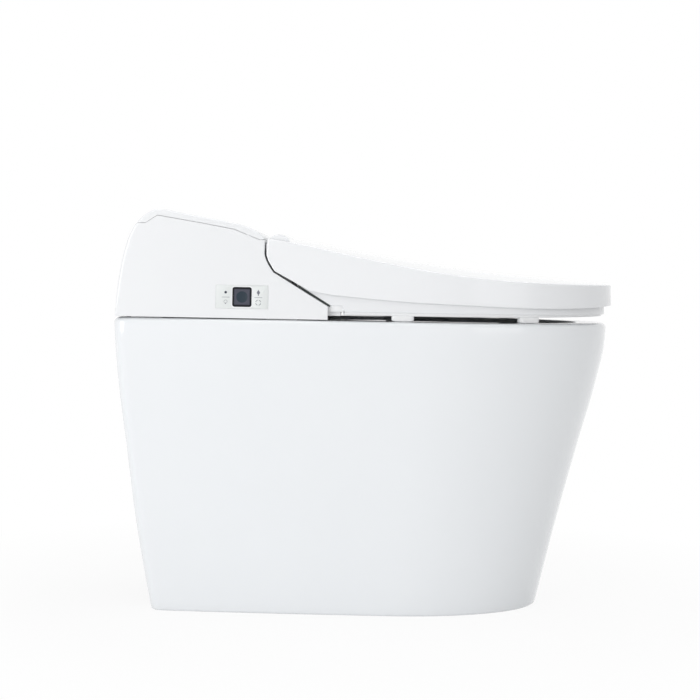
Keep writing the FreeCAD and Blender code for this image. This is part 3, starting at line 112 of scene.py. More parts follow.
class Finish:
    def __init__(self, name, **constants):
        self.material = bpy.data.materials.new(name)
        self.material.use_nodes = True
        self.tree = self.material.node_tree
        self.shader = self.tree.nodes["Principled BSDF"]
        for label, value in constants.items():
            self.shader.inputs[label.replace("_", " ")].default_value = value

    def node(self, kind, settings=None, **inputs):
        node = self.tree.nodes.new(kind)
        for key, value in (settings or {}).items():
            setattr(node, key, value)
        for key, value in inputs.items():
            plug(self.tree, node.inputs[key.replace("_", " ")], value)
        return node

    def place(self):
        return Wire(self.tree, self.node("ShaderNodeTexCoord").outputs["Object"])

    def noise(self, scale, detail=2.0, roughness=0.5):
        node = self.node("ShaderNodeTexNoise", Vector=self.place(), Scale=scale, Detail=detail,
                         Roughness=roughness)
        return Wire(self.tree, node.outputs["Factor" if "Factor" in node.outputs else 0])

    def blend(self, factor, dark, light):
        node = self.node("ShaderNodeMix", {"data_type": "RGBA"})
        plug(self.tree, node.inputs[0], factor)
        plug(self.tree, node.inputs[6], dark)
        plug(self.tree, node.inputs[7], light)
        return Wire(self.tree, node.outputs[2])

    def bump(self, height, strength, distance):
        node = self.node("ShaderNodeBump", Height=height, Strength=strength, Distance=distance)
        return Wire(self.tree, node.outputs["Normal"])

    def set(self, label, value):
        plug(self.tree, self.shader.inputs[label], value)

    def tint(self, scale, detail, dark, light):
        """Colour that drifts between two tones."""
        self.set("Base Color", self.blend(self.noise(scale, detail), dark, light))

    def roughen(self, scale, detail, spread, least):
        self.set("Roughness", self.noise(scale, detail) * spread + least)

    def grain(self, scale, detail, strength, distance):
        self.set("Normal", self.bump(self.noise(scale, detail), strength, distance))


def grey(value, warm=0.0):
    return (value * (1 + warm), value, value * (1 - warm), 1.0)


# ------------------------------------------------------------------ glazed ceramic pedestal
# One-piece vitreous china: flared skirt with a bowed side, flat rim, open bowl and a sloping
# recess for the nozzles behind it. Slip-cast about 12 mm thick and glazed white all over.
rim_height = 0.400
rim_round = 0.007
bowl_round = 0.009
china_wall = 0.012
deck_under = 0.380
front_count = 120
side_count = 72
corner_count = 10
rear_count = 16
# share of height, share of the front's flare, share of the rear's flare
flare = [(0.0, 0.0, 0.0), (0.2875, 0.290, 0.397), (0.575, 0.610, 0.680),
         (0.7925, 0.862, 0.885), (0.936, 0.987, 0.975), (1.0, 1.0, 1.0)]
# rear, half width at the rear, place and half width of the widest part, front
foot_plan = (-0.2936, 0.119, 0.036, 0.130, 0.2416)
top_plan = (-0.3425, 0.184, 0.062, 0.190, 0.3355)
plan_corner = 0.014
sump_z = 0.096
rim_spread = (0.24, 0.19)
# height, rear, front, half width of the bowl
bowl_rows = [(0.400, -0.030, 0.290, 0.125), (0.340, -0.020, 0.279, 0.117), (0.280, 0.008, 0.258, 0.102),
             (0.220, 0.038, 0.226, 0.082), (0.160, 0.060, 0.190, 0.058), (0.120, 0.074, 0.164, 0.040),
             (0.096, 0.094, 0.146, 0.022)]


def through(rows, t):
    """Smooth curve through rows of numbers; the first column is the parameter."""
    table = np.array(rows, dtype=float)
    keys = table[:, 0]
    slopes = np.gradient(table[:, 1:], keys, axis=0)
    i = int(np.clip(np.searchsorted(keys, t) - 1, 0, len(keys) - 2))
    span = keys[i + 1] - keys[i]
    u = (t - keys[i]) / span
    a, b = table[i, 1:], table[i + 1, 1:]
    return ((2 * u**3 - 3 * u**2 + 1) * a + (u**3 - 2 * u**2 + u) * span * slopes[i]
            + (3 * u**2 - 2 * u**3) * b + (u**3 - u**2) * span * slopes[i + 1])


def arc_through(a, b, c, count):
    """Points of the circle arc from a past b to c, without the last."""
    (ax, ay), (bx, by), (cx, cy) = a, b, c
    d = 2 * (ax * (by - cy) + bx * (cy - ay) + cx * (ay - by))
    ox = ((ax**2 + ay**2) * (by - cy) + (bx**2 + by**2) * (cy - ay) + (cx**2 + cy**2) * (ay - by)) / d
    oy = ((ax**2 + ay**2) * (cx - bx) + (bx**2 + by**2) * (ax - cx) + (cx**2 + cy**2) * (bx - ax)) / d
    r = math.hypot(ax - ox, ay - oy)
    start = math.atan2(ay - oy, ax - ox)
    sweep = (math.atan2(cy - oy, cx - ox) - start + math.pi) % (2 * math.pi) - math.pi
    return [(ox + r * math.cos(start + sweep * i / count), oy + r * math.sin(start + sweep * i / count))
            for i in range(count)]


def outline(rear_x, rear_w, wide_x, wide_w, front_x, corner):
    """Plan of the toilet, from the tip round the left side, the rear and back to the tip."""
    side_w = rear_w + (wide_w - rear_w) * 0.06
    bow = ((wide_x + rear_x + corner) / 2, wide_w - (wide_w - side_w) * 0.25)
    cut = corner * (1 - math.sqrt(0.5))
    half = []
    for i in range(front_count // 2):
        t = math.pi * i / front_count
        half.append((wide_x + (front_x - wide_x) * math.cos(t), wide_w * math.sin(t)))
    side_end = (rear_x + corner, side_w)
    rear_end = (rear_x, side_w - corner)
    half += arc_through((wide_x, wide_w), bow, side_end, side_count)
    half += arc_through(side_end, (rear_x + cut, side_w - cut), rear_end, corner_count)
    half += [(rear_x, rear_end[1] * (1 - 2 * i / rear_count)) for i in range(rear_count // 2 + 1)]
    return half + [(x, -y) for x, y in half[-2:0:-1]]


def pedestal_ring(z, inset):
    front, rear = through(flare, min(max(z / rim_height, 0.0), 1.0))
    shares = (rear, front, front, front, front)
    rear_x, rear_w, wide_x, wide_w, front_x = [a + (b - a) * s for a, b, s in zip(foot_plan, top_plan, shares)]
    return outline(rear_x + inset, rear_w - inset, wide_x, wide_w - inset, front_x - inset, plan_corner)


def bowl_ring(z, grow, plan):
    """Ellipse of the bowl at height z, its points spread like those of the rim's plan."""
    rear, front, half = through([(-row[0],) + row[1:] for row in bowl_rows], -z)
    cx, a, b = (rear + front) / 2, (front - rear) / 2 + grow, half + grow
    ring = []
    for x, y in plan:
        t = math.atan2(y / rim_spread[1], (x - cx) / rim_spread[0])
        ring.append((cx + a * math.cos(t), b * math.sin(t)))
    return ring


def make_piece(name, verts, faces):
    mesh = bpy.data.meshes.new(name)
    mesh.from_pydata([tuple(v) for v in verts], [], faces)
    mesh.validate()
    obj = bpy.data.objects.new(name, mesh)
    bpy.context.scene.collection.objects.link(obj)
    return obj


def lofted(name, rings, cap_start=True, cap_end=True):
    """Closed skin over rings of equally many (x, y, z) points, its ends closed to their middles."""
    count = len(rings[0])
    verts = [p for ring in rings for p in ring]
    faces = []
    for k in range(len(rings) - 1):
        for i in range(count):
            j = (i + 1) % count
            faces.append((k * count + i, k * count + j, (k + 1) * count + j, (k + 1) * count + i))
    for at, wanted in ((0, cap_start), (len(rings) - 1, cap_end)):
        if wanted:
            middle = tuple(np.mean(np.array(rings[at]), axis=0))
            verts.append(middle)
            hub = len(verts) - 1
            for i in range(count):
                j = (i + 1) % count
                pair = (at * count + i, at * count + j)
                faces.append((hub,) + (pair[::-1] if at == 0 else pair))
    return make_piece(name, verts, faces)


def outward(obj, sharp_deg=32.0):
    """Faces point out, and shading is smooth except over real edges."""
    mesh = obj.data
    work = bmesh.new()
    work.from_mesh(mesh)
    bmesh.ops.remove_doubles(work, verts=work.verts, dist=1e-6)
    bmesh.ops.recalc_face_normals(work, faces=work.faces)
    work.to_mesh(mesh)
    work.free()
    mesh.shade_smooth()
    mesh.set_sharp_from_angle(angle=math.radians(sharp_deg))
    return obj


def flat_ring(points, z):
    return [(x, y, z) for x, y in points]


rim_plan = pedestal_ring(rim_height, 0.0)


def bowl_level(row_z, grow, z):
    """Section of the bowl as it is at row_z, widened by grow and set at height z."""
    return flat_ring(bowl_ring(row_z, grow, rim_plan), z)


# inside of the bowl from the sump up, then its rounded edge
rings = [bowl_level(sump_z, -0.012, 0.0935), bowl_level(sump_z, -0.004, 0.0945)]
rings += [bowl_level(z, 0.0, z) for z in (0.097, 0.0985, 0.102, 0.108, 0.114)]
rings += [bowl_level(z, 0.0, z) for z in np.linspace(0.120, rim_height - bowl_round, 40)]
for t in np.linspace(0.15, 1.0, 7) * math.pi / 2:
    lift = rim_height - bowl_round * (1 - math.sin(t))
    rings.append(bowl_level(rim_height - bowl_round, bowl_round * (1 - math.cos(t)), lift))
# outer edge of the rim and the skirt down to the foot
for t in np.linspace(1.0, 0.0, 8) * math.pi / 2:
    lift = rim_height - rim_round * (1 - math.sin(t))
    rings.append(flat_ring(pedestal_ring(rim_height - rim_round, rim_round * (1 - math.cos(t))), lift))
for z in np.linspace(rim_height - rim_round - 0.006, 0.004, 44):
    rings.append(flat_ring(pedestal_ring(z, 0.0), z))
# under the foot and up the inside of the skirt
for z, inset in ((0.0015, 0.0004), (0.0, 0.002), (0.0, china_wall - 0.001), (0.002, china_wall)):
    rings.append(flat_ring(pedestal_ring(z, inset), z))
for z in np.linspace(0.02, deck_under - 0.008, 14):
    rings.append(flat_ring(pedestal_ring(z, china_wall), z))
rings.append(flat_ring(pedestal_ring(deck_under, china_wall + 0.008), deck_under))
# outside of the bowl, down to the sump again
rings.append(bowl_level(deck_under, 0.018, deck_under))
rings += [bowl_level(z, 0.011, z) for z in np.linspace(deck_under - 0.008, 0.100, 24)]
rings += [bowl_level(sump_z, 0.004, 0.086), bowl_level(sump_z, -0.012, 0.0845)]
pedestal = outward(lofted("pedestal", rings))

# nozzle line: the wash unit's nozzles slide down it into the bowl
nozzle_tip = Vector((-0.060, 0.0, 0.397))
nozzle_tilt = math.radians(31.0)
along_nozzle = Matrix.Translation(nozzle_tip) @ Matrix.Rotation(nozzle_tilt, 4, "Y")


def block(name, low, high, turn=Matrix.Identity(4)):
    corners = [(x, y, z) for x in (low[0], high[0]) for y in (low[1], high[1]) for z in (low[2], high[2])]
    faces = [(0, 1, 3, 2), (4, 6, 7, 5), (0, 4, 5, 1), (2, 3, 7, 6), (0, 2, 6, 4), (1, 5, 7, 3)]
    return make_piece(name, [turn @ Vector(c) for c in corners], faces)


def rod(name, start, end, radius, count=48):
    """Plain round bar between two points, used as a cutter."""
    line = Vector(end) - Vector(start)
    turn = line.to_track_quat("Z", "Y").to_matrix()
    rings = []
    for s in (0.0, 1.0):
        ring = []
        for i in range(count):
            t = 2 * math.pi * i / count
            arm = Vector((radius * math.cos(t), radius * math.sin(t), 0))
            ring.append(tuple(Vector(start) + line * s + turn @ arm))
        rings.append(ring)
    return outward(lofted(name, rings))


def carve(target, cutter, operation="DIFFERENCE"):
    step = target.modifiers.new("carve", "BOOLEAN")
    step.operation = operation
    step.solver = "EXACT"
    step.object = cutter
    graph = bpy.context.evaluated_depsgraph_get()
    mesh = bpy.data.meshes.new_from_object(target.evaluated_get(graph))
    target.modifiers.clear()
    old = target.data
    target.data = mesh
    bpy.data.meshes.remove(old)
    bpy.data.objects.remove(cutter)


# sloping recess behind the bowl, with its own floor of china
recess_half = 0.095
slab_half = recess_half + china_wall
slab = block("slab", (-0.048, -slab_half, -0.026), (0.034, slab_half, 0.012), along_nozzle)
carve(slab, block("lid_of_slab", (-0.3, -0.3, 0.399), (0.3, 0.3, 0.6)))
carve(pedestal, slab, "UNION")
carve(pedestal, block("recess", (-0.060, -recess_half, -0.014), (0.070, recess_half, 0.060), along_nozzle))
# arch in the rear wall for the outlet and the water pipe
arch_half = 0.078
arch_spring = 0.170
arch_turns = [math.pi * i / 40 for i in range(41)]
arch = [(-arch_half, -0.01), (arch_half, -0.01)]
arch += [(arch_half * math.cos(t), arch_spring + arch_half * math.sin(t)) for t in arch_turns]
carve(pedestal, outward(lofted("arch", [[(x, y, z) for y, z in arch] for x in (-0.36, -0.268)])))
# throat of the waterway, out of the sump
throat_slope = math.radians(50)
throat_r = 0.027
rise = Vector((-math.cos(throat_slope), 0, math.sin(throat_slope)))
leg = Vector((0.0222, 0.0, 0.192))
carve(pedestal, rod("throat", leg - rise * 0.122, leg - rise * 0.03, throat_r))
outward(pedestal, 40.0)

glaze = Finish("glazed_white_china", Roughness=0.10, IOR=1.52, Coat_Weight=0.5, Coat_Roughness=0.03)
glaze.tint(7.0, 3.0, (0.838, 0.860, 0.882, 1), (0.858, 0.878, 0.898, 1))
glaze.roughen(22.0, 4.0, 0.06, 0.09)
glaze.grain(38.0, 1.0, 0.05, 0.0006)
pedestal.data.materials.clear()
pedestal.data.materials.append(glaze.material)
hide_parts("ceramic_skirt", "ceramic_rim", "ceramic_bowl")
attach(pedestal, "toilet")

# ------------------------------------------------------------------ seat ring
# Upper shell of the heated seat: one glossy moulding whose top follows the lid, with an
# egg-shaped opening. Two arms at the rear carry it on the hinge shafts.

# x, height of the lid's crown, fall to each side
dome_rows = [(-0.150, 0.5150, 0.007), (-0.095, 0.5076, 0.008), (-0.020, 0.4940, 0.010), (0.080, 0.4783, 0.012),
             (0.175, 0.4665, 0.012), (0.260, 0.4598, 0.013), (0.350, 0.4530, 0.014)]
dome_half = 0.196
seat_drop = 0.0245
seat_seam = 0.412
seat_plan = (-0.104, 0.179, 0.062, 0.1835, 0.3327, 0.008)
seat_knee = (-0.038, 0.4201)
slope_tan = math.tan(math.radians(31.0))
slope_foot = (-0.059, 0.419)
slope_gap = 0.0035
# height, rear, front and half width of the seat's opening
hole_rows = [(0.400, -0.005, 0.272, 0.104), (0.428, -0.008, 0.276, 0.108), (0.525, -0.030, 0.300, 0.136)]
hole_spread = (0.2150, 0.1835)


def dome(x, y, drop=0.0):
    crown, fall = through(dome_rows, x)
    return crown - drop - fall * (y / dome_half) ** 2


def slope(x):
    """Height of the housing's sloping front."""
    return slope_foot[1] + (slope_foot[0] - x) * slope_tan


def seat_under(x, low):
    if x > seat_knee[0]:
        return low
    return max(seat_knee[1], slope(x) + slope_gap)


def inward(points):
    """Unit vectors pointing into a closed plan."""
    p = np.array(points)
    along = np.roll(p, -1, axis=0) - np.roll(p, 1, axis=0)
    n = np.stack([-along[:, 1], along[:, 0]], axis=1)
    return n / np.linalg.norm(n, axis=1)[:, None]


def hole_ring(z, grow, plan):
    """Edge of the opening at height z, widened by grow, its points spread like those of the plan."""
    table = np.array(hole_rows)
    rear, front, half = [np.interp(z, table[:, 0], table[:, k]) for k in (1, 2, 3)]
    cx, a, b = (rear + front) / 2, (front - rear) / 2 + grow, half + grow
    t = np.arctan2(np.array(plan)[:, 1] / hole_spread[1], (np.array(plan)[:, 0] - cx) / hole_spread[0])
    return np.stack([cx + a * np.cos(t), b * np.sin(t)], axis=1)


def seat_ring_piece(name, inset, low, top, edge_out, edge_in, edge_low):
    """Closed ring between the seat's plan and its opening; low(x) and top(x, y) give its two faces."""
    rear_x, rear_w, wide_x, wide_w, front_x, corner = seat_plan
    shape = outline(rear_x + inset, rear_w - inset, wide_x, wide_w - inset, front_x - inset, corner)
    p = np.array(shape)
    n = inward(shape)
    rings = []

    def ring(xy, heights):
        rings.append([(x, y, z) for (x, y), z in zip(xy, heights)])

    under = np.array([low(x) for x, y in shape])
    peak = np.array([top(x, y) for x, y in p])
    for t in np.linspace(0.0, 1.0, 4) * math.pi / 2:
        ring(p + n * edge_low * (1 - math.sin(t)), under + edge_low * (1 - math.cos(t)))
    for share in (0.35, 0.7):
        ring(p, under + edge_low + (peak - edge_out - under - edge_low) * share)
    for t in np.linspace(0.0, 0.93, 9) * math.pi / 2:
        q = p + n * edge_out * (1 - math.cos(t))
        ring(q, np.array([top(x, y) for x, y in q]) - edge_out * (1 - math.sin(t)))
    outer = p + n * edge_out
    rim = hole_ring(0.44, 0.0, p)
    high = np.array([top(x, y) for x, y in rim])
    inner = np.array([hole_ring(z, edge_in, p)[i] for i, z in enumerate(high)])
    for share in np.linspace(0.06, 1.0, 16):
        q = outer * (1 - share) + inner * share
        ring(q, np.array([top(x, y) for x, y in q]))
    for t in np.linspace(0.85, 0.0, 8) * math.pi / 2:
        depth = edge_in * (1 - math.sin(t))
        grow = edge_in * (1 - math.cos(t))
        q = np.array([hole_ring(z - depth, grow, p)[i] for i, z in enumerate(high)])
        ring(q, high - depth)
    base = hole_ring(low(0.0), 0.0, p)
    floor = np.array([low(x) for x, y in base])
    for share in (0.4, 0.8):
        z = (high - edge_in) * (1 - share) + (floor + edge_low) * share
        ring(np.array([hole_ring(h, 0.0, p)[i] for i, h in enumerate(z)]), z)
    ring(base, floor + edge_low)
    ring(hole_ring(low(0.0), edge_low, p), floor)
    for share in np.linspace(0.04, 0.96, 22):
        q = base * (1 - share) + (p + n * edge_low) * share
        ring(q, np.array([low(x) for x, y in q]))
    rings.append(rings[0])
    return outward(lofted(name, rings, False, False), 40.0)


def side_slab(name, points, y0, y1):
    """A flat outline in the XZ plane, pushed from y0 to y1."""
    count = len(points)
    verts = [(x, y0, z) for x, z in points] + [(x, y1, z) for x, z in points]
    faces = [tuple(range(count)), tuple(range(2 * count - 1, count - 1, -1))]
    faces += [(i, (i + 1) % count, count + (i + 1) % count, count + i) for i in range(count)]
    return make_piece(name, verts, faces)


def softened(obj, width, segments=3, angle=35.0):
    step = obj.modifiers.new("edges", "BEVEL")
    step.width = width
    step.segments = segments
    step.limit_method = "ANGLE"
    step.angle_limit = math.radians(angle)
    graph = bpy.context.evaluated_depsgraph_get()
    mesh = bpy.data.meshes.new_from_object(obj.evaluated_get(graph))
    obj.modifiers.clear()
    obj.data = mesh
    return obj


def merged(name, objects):
    """Several closed solids as one piece."""
    work = bmesh.new()
    for obj in objects:
        work.from_mesh(obj.data)
        bpy.data.objects.remove(obj)
    mesh = bpy.data.meshes.new(name)
    work.to_mesh(mesh)
    work.free()
    whole = bpy.data.objects.new(name, mesh)
    bpy.context.scene.collection.objects.link(whole)
    return whole


hinge = Vector((-0.125, 0.0, 0.497))
seat_shell = seat_ring_piece("seat_shell_ring", 0.0, lambda x: seat_under(x, seat_seam),
                             lambda x, y: dome(x, y, seat_drop), 0.008, 0.011, 0.0008)
knuckle_r = 0.0115
arm_side = (0.152, 0.163)
arms = []
for side in (-1, 1):
    link = [(hinge.x + 0.008, hinge.z - 0.008), (-0.100, hinge.z - 0.013), (-0.100, hinge.z - 0.036),
            (hinge.x - 0.003, hinge.z - 0.010)]
    y0, y1 = sorted((side * arm_side[0], side * arm_side[1]))
    arms.append(softened(side_slab("link", link, y0, y1), 0.001))
    arms.append(softened(rod("knuckle", (hinge.x, y0, hinge.z), (hinge.x, y1, hinge.z), knuckle_r), 0.0006))
seat_shell = outward(merged("seat_shell", [seat_shell] + arms), 40.0)

moulded = Finish("glossy_white_moulding", Roughness=0.22, IOR=1.46, Coat_Weight=0.25, Coat_Roughness=0.08)
moulded.tint(5.0, 2.0, (0.830, 0.842, 0.858, 1), (0.850, 0.861, 0.875, 1))
moulded.roughen(60.0, 3.0, 0.08, 0.20)
moulded.grain(900.0, 2.0, 0.04, 0.0001)


def dress(obj, finish, body, slot, *nodes):
    obj.data.materials.clear()
    obj.data.materials.append(finish.material)
    if nodes:
        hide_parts(*nodes)
    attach(obj, body)


dress(seat_shell, moulded, "seat", "white_shell", "seat_upper_shell")

# ------------------------------------------------------------------ seat tray
# Lower half of the seat, set in 3.5 mm from the upper shell so that a recessed band shows
# under the seam. Same moulding, a little duller because it isn't polished.
tray_inset = 0.0035
tray_low = 0.4076
tray_rise_from = 0.12
tray_rise = 0.0020


def tray_under(x):
    """Height of the tray's lower face, which climbs a little towards the tip."""
    climb = min(max((x - tray_rise_from) / (seat_plan[4] - tray_rise_from), 0.0), 1.0)
    return seat_under(x, tray_low) + tray_rise * climb ** 1.3


tray_top = seat_seam + 0.0004
tray = seat_ring_piece("seat_tray", tray_inset, tray_under, lambda x, y: tray_top, 0.0003, 0.0003, 0.0022)
under_white = Finish("satin_white_moulding", Roughness=0.34, IOR=1.46)
under_white.tint(6.0, 2.0, (0.845, 0.852, 0.858, 1), (0.865, 0.871, 0.876, 1))
under_white.roughen(70.0, 3.0, 0.1, 0.30)
under_white.grain(1200.0, 2.0, 0.08, 0.0001)
dress(tray, under_white, "seat", "white_shell", "seat_tray")

# ------------------------------------------------------------------ lid
# Domed cover with a crisp edge and a near upright skirt, moulded 3 mm thick. Behind, two
# thin ears reach round the hinge roll, which is a swelling half-open tube across the lid.
lid_wall = 0.003
lid_edge = 0.0018
lid_draft = 0.0010
lid_low_edge = 0.0009
lid_rear = -0.1415
lid_room = -0.103
lid_plan = (0.1855, 0.062, 0.190, 0.3425)
lid_corner = 0.0030
lid_land = 0.0029
lid_room_w = 0.18398
ear_in = 0.182
roll_swing = 0.0176
skirt_knee = -0.083
skirt_rows = [(-0.056, 0.4343), (0.036, 0.4272), (0.128, 0.4234), (0.214, 0.4206), (0.262, 0.4206),
              (0.305, 0.4220), (0.345, 0.4249)]
cheek_rows = [(-0.1415, 0.4985), (-0.1410, 0.4842), (-0.1384, 0.4776), (-0.1307, slope(-0.1307) + 0.00257),
              (skirt_knee, slope(skirt_knee) + 0.00557), (-0.056, 0.4343)]


def lid_under(x):
    if x < cheek_rows[-1][0]:
        return float(np.interp(x, [row[0] for row in cheek_rows], [row[1] for row in cheek_rows]))
    return float(through(skirt_rows, x)[0])


def lid_top(x, y):
    top = dome(x, y)
    if x < hinge.x:
        top = min(top, hinge.z + math.sqrt(max(roll_swing**2 - (x - hinge.x) ** 2, 0.0)))
    return top


def lid_ring(rear_x, rear_w, inset, corner):
    wide_x, wide_w, front_x = lid_plan[1:]
    return np.array(outline(rear_x, rear_w - inset, wide_x, wide_w - inset, front_x - inset, corner))


def spread(xy, share, middle=(0.08, 0.0)):
    return xy * share + np.array(middle) * (1 - share)


def raised(xy, height):
    return [(x, y, height(x, y)) for x, y in xy]


outer = lid_ring(lid_rear, lid_plan[0], 0.0, lid_corner)
normal = inward(outer)
inner = lid_ring(lid_room, lid_room_w + lid_wall, lid_wall, lid_corner)
rings = [raised(spread(outer, share), dome) for share in np.linspace(0.03, 0.97, 34)]
for t in np.linspace(1.0, 0.0, 7) * math.pi / 2:
    q = outer + normal * (lid_draft + lid_edge * (1 - math.cos(t)))
    fall = lid_edge * (1 - math.sin(t))
    rings.append(raised(q, lambda x, y: lid_top(x, y) - fall))
for share in np.linspace(0.15, 0.85, 6):
    wall = outer + normal * lid_draft * (1 - share)
    rings.append([(x, y, (lid_top(x, y) - lid_edge) * (1 - share) + (lid_under(a) + lid_low_edge) * share)
                  for (x, y), (a, b) in zip(wall, outer)])
for t in np.linspace(0.0, 1.0, 5) * math.pi / 2:
    q = outer + normal * lid_low_edge * (1 - math.cos(t))
    lift = lid_low_edge * (1 - math.sin(t))
    rings.append([(x, y, lid_under(a) + lift) for (x, y), (a, b) in zip(q, outer)])
land = lid_ring(lid_rear + lid_land, lid_plan[0], lid_land, lid_corner)
rings.append(raised(land, lambda x, y: lid_under(x)))
for share in (0.0, 0.3, 0.6, 0.85, 1.0):
    rings.append(raised(inner, lambda x, y: lid_under(x) * (1 - share)
                        + (dome(x, y, lid_wall) - 0.001) * share))
for share in np.linspace(0.99, 0.03, 26):
    rings.append(raised(spread(inner, share), lambda x, y: dome(x, y, lid_wall)))
lid = outward(lofted("lid_cover", rings))
carve(lid, block("notch", (-0.20, -ear_in, 0.38), (-0.1122, ear_in, 0.56)))
carve(lid, block("under", (-0.20, -ear_in, 0.38), (lid_room + 0.0002, ear_in, hinge.z - 0.0162)))

roll_r = 0.0182
roll_fall = 0.0022
roll_half = 0.181
roll_bore = 0.013
roll_web_deg = -25.0
roll_span_deg = 185.0
roll_steps = 48
boss_steps = 96
# distance from the middle, fall of the edge
boss_levels = [(0.165, 0.003), (0.165, 0.0), (0.170, 0.0), (0.176, 0.0), (0.1803, 0.0), (0.1808, 0.0002),
               (0.181, 0.0007), (0.181, 0.0020)]


def roll_radius(y):
    return roll_r - roll_fall * (y / roll_half) ** 2


def roll_point(r, t, y):
    return (hinge.x + r * math.cos(t), y, hinge.z + r * math.sin(t))


def roll_ring(y):
    """Section of the half-open roll: outside from the web over the top to the lip, then back inside."""
    turns = [math.radians(roll_web_deg + roll_span_deg * i / roll_steps) for i in range(roll_steps + 1)]
    outside = [roll_point(roll_radius(y), t, y) for t in turns]
    return outside + [roll_point(roll_bore, t, y) for t in reversed(turns)]


roll = lofted("roll", [roll_ring(y) for y in np.linspace(-0.166, 0.166, 41)], False, False)
bosses = []
for side in (-1, 1):
    rings = []
    for y, fall in boss_levels:
        r = roll_radius(y) - fall
        rings.append([roll_point(r, 2 * math.pi * i / boss_steps, side * y) for i in range(boss_steps)])
    bosses.append(lofted("boss", rings))
lid = outward(merged("lid_cover_with_roll", [lid, roll] + bosses), 40.0)
lid_white = Finish("polished_lid_white", Roughness=0.16, IOR=1.46, Coat_Weight=0.35, Coat_Roughness=0.06)
lid_white.tint(4.0, 2.0, (0.850, 0.862, 0.880, 1), (0.868, 0.878, 0.894, 1))
lid_white.roughen(50.0, 3.0, 0.06, 0.15)
lid_white.grain(900.0, 2.0, 0.03, 0.0001)
dress(lid, lid_white, "lid", "white_shell", "lid_shell")

# ------------------------------------------------------------------ wash unit housing
# Hollow ABS moulding on the rear deck: upright sides with softened top edges, a curved
# back, and a sloping front below the hinge. A parting line separates the top cover.
house_half = 0.1845
house_wall = 0.003
house_low = 0.4012
side_round = 0.0035
crisp_round = 0.0006
front_x = slope_foot[0]
slope_top_x = -0.1319
seam_gap = 0.0005
back_rows = [(-0.3386, 0.4300), (-0.3350, 0.4590), (-0.3285, 0.4910), (-0.3200, 0.5150), (-0.3110, 0.5285),
             (-0.3000, 0.5380), (-0.2907, 0.5432), (-0.2570, 0.5397), (-0.2250, 0.5342), (-0.1930, 0.5290),
             (-0.1720, 0.5240), (-0.1520, 0.5155), (-0.1436, 0.5095)]
throat_rows = [(-0.1437, 0.4985), (-0.1432, 0.4834), (-0.1403, 0.4762), (slope_top_x, slope(slope_top_x))]
cover_rows = [(-0.345, 0.5248), (-0.302, 0.5248), (-0.286, 0.5352), (-0.231, 0.5265), (-0.185, 0.5185),
              (-0.1515, 0.5055), (-0.138, 0.5055)]


def flowing(points, count=6):
    """The same points with a smooth curve laid through them."""
    p = np.array(points)
    key = np.concatenate([[0.0], np.cumsum(np.linalg.norm(np.diff(p, axis=0), axis=1))])
    table = np.column_stack([key, p])
    out = []
    for i in range(len(p) - 1):
        for k in range(count):
            out.append(tuple(through(table, key[i] + (key[i + 1] - key[i]) * k / count)))
    out.append(tuple(p[-1]))
    top = p[:, 1].max()
    return [(x, min(z, top)) for x, z in out]


back_line = [(-0.3400, house_low)] + flowing(back_rows)
front_line = flowing(throat_rows, 4)
for i in range(1, 9):
    x = slope_top_x + (front_x - slope_top_x) * i / 8
    front_line.append((x, slope(x)))
front_line += [(front_x, 0.412), (front_x, house_low)]
profile = np.array(back_line + front_line)
rounding = np.array([crisp_round] + [side_round] * (len(back_line) - 1) + [crisp_round] * len(front_line))


def pushed(points, amounts):
    """Moves each point of a closed XZ outline inward by its own amount."""
    ahead = np.roll(points, -1, axis=0) - points
    behind = points - np.roll(points, 1, axis=0)
    ahead /= np.linalg.norm(ahead, axis=1)[:, None]
    behind /= np.linalg.norm(behind, axis=1)[:, None]
    along = ahead + behind
    along /= np.linalg.norm(along, axis=1)[:, None]
    normal = np.stack([along[:, 1], -along[:, 0]], axis=1)
    square = np.sqrt(np.maximum((1 + np.sum(ahead * behind, axis=1)) / 2, 0.3))
    return points + normal * (np.asarray(amounts) / square)[:, None]


def at_side(points, ys, sign):
    """An XZ outline set at one distance, or one per point, from the middle."""
    return [(x, sign * y, z) for (x, z), y in zip(points, np.broadcast_to(ys, len(points)))]


def swept(name, points, rounds, half):
    """An XZ outline pushed from -half to +half, its side edges rounded point by point."""
    rings = []
    steps = [math.pi / 2 * i / 7 for i in range(8)]
    levels = [(rounds * (1 - math.sin(t)), rounds * (1 - math.cos(t))) for t in steps]
    ends = [(pushed(points, rounds + 0.0004), half)]
    for inset, back in levels:
        ends.append((pushed(points, inset), half - back))
    for xz, ys in ends:
        rings.append(at_side(xz, ys, -1))
    for y in np.linspace(-half + 0.006, half - 0.006, 9):
        rings.append([(x, y, z) for x, z in points])
    for xz, ys in reversed(ends):
        rings.append(at_side(xz, ys, 1))
    count = len(points)
    verts = [v for ring in rings for v in ring]
    faces = [tuple(range(count)), tuple(range(len(verts) - 1, len(verts) - count - 1, -1))]
    for k in range(len(rings) - 1):
        for i in range(count):
            j = (i + 1) % count
            faces.append((k * count + j, k * count + i, (k + 1) * count + i, (k + 1) * count + j))
    return make_piece(name, verts, faces)


def upper_part(lift):
    """Room above the parting line of the top cover."""
    points = [(x, z + lift) for x, z in cover_rows] + [(-0.138, 0.6), (-0.345, 0.6)]
    return side_slab("above_the_seam", points, -0.25, 0.25)


shell = outward(swept("housing_skin", profile, rounding, house_half))
room_points = pushed(profile, np.full(len(profile), house_wall))
room_points[0] = (-0.3368, house_low - 0.004)
room_points[-1] = (front_x - house_wall, house_low - 0.004)
room_half = house_half - house_wall
carve(shell, outward(side_slab("housing_room", [tuple(p) for p in room_points], -room_half, room_half)))
cover = shell.copy()
cover.data = shell.data.copy()
bpy.context.scene.collection.objects.link(cover)
carve(cover, outward(upper_part(seam_gap)), "INTERSECT")
carve(shell, outward(upper_part(0.0)))
carve(shell, block("gate", (-0.044, -0.092, -0.018), (0.030, 0.092, 0.0125), along_nozzle))

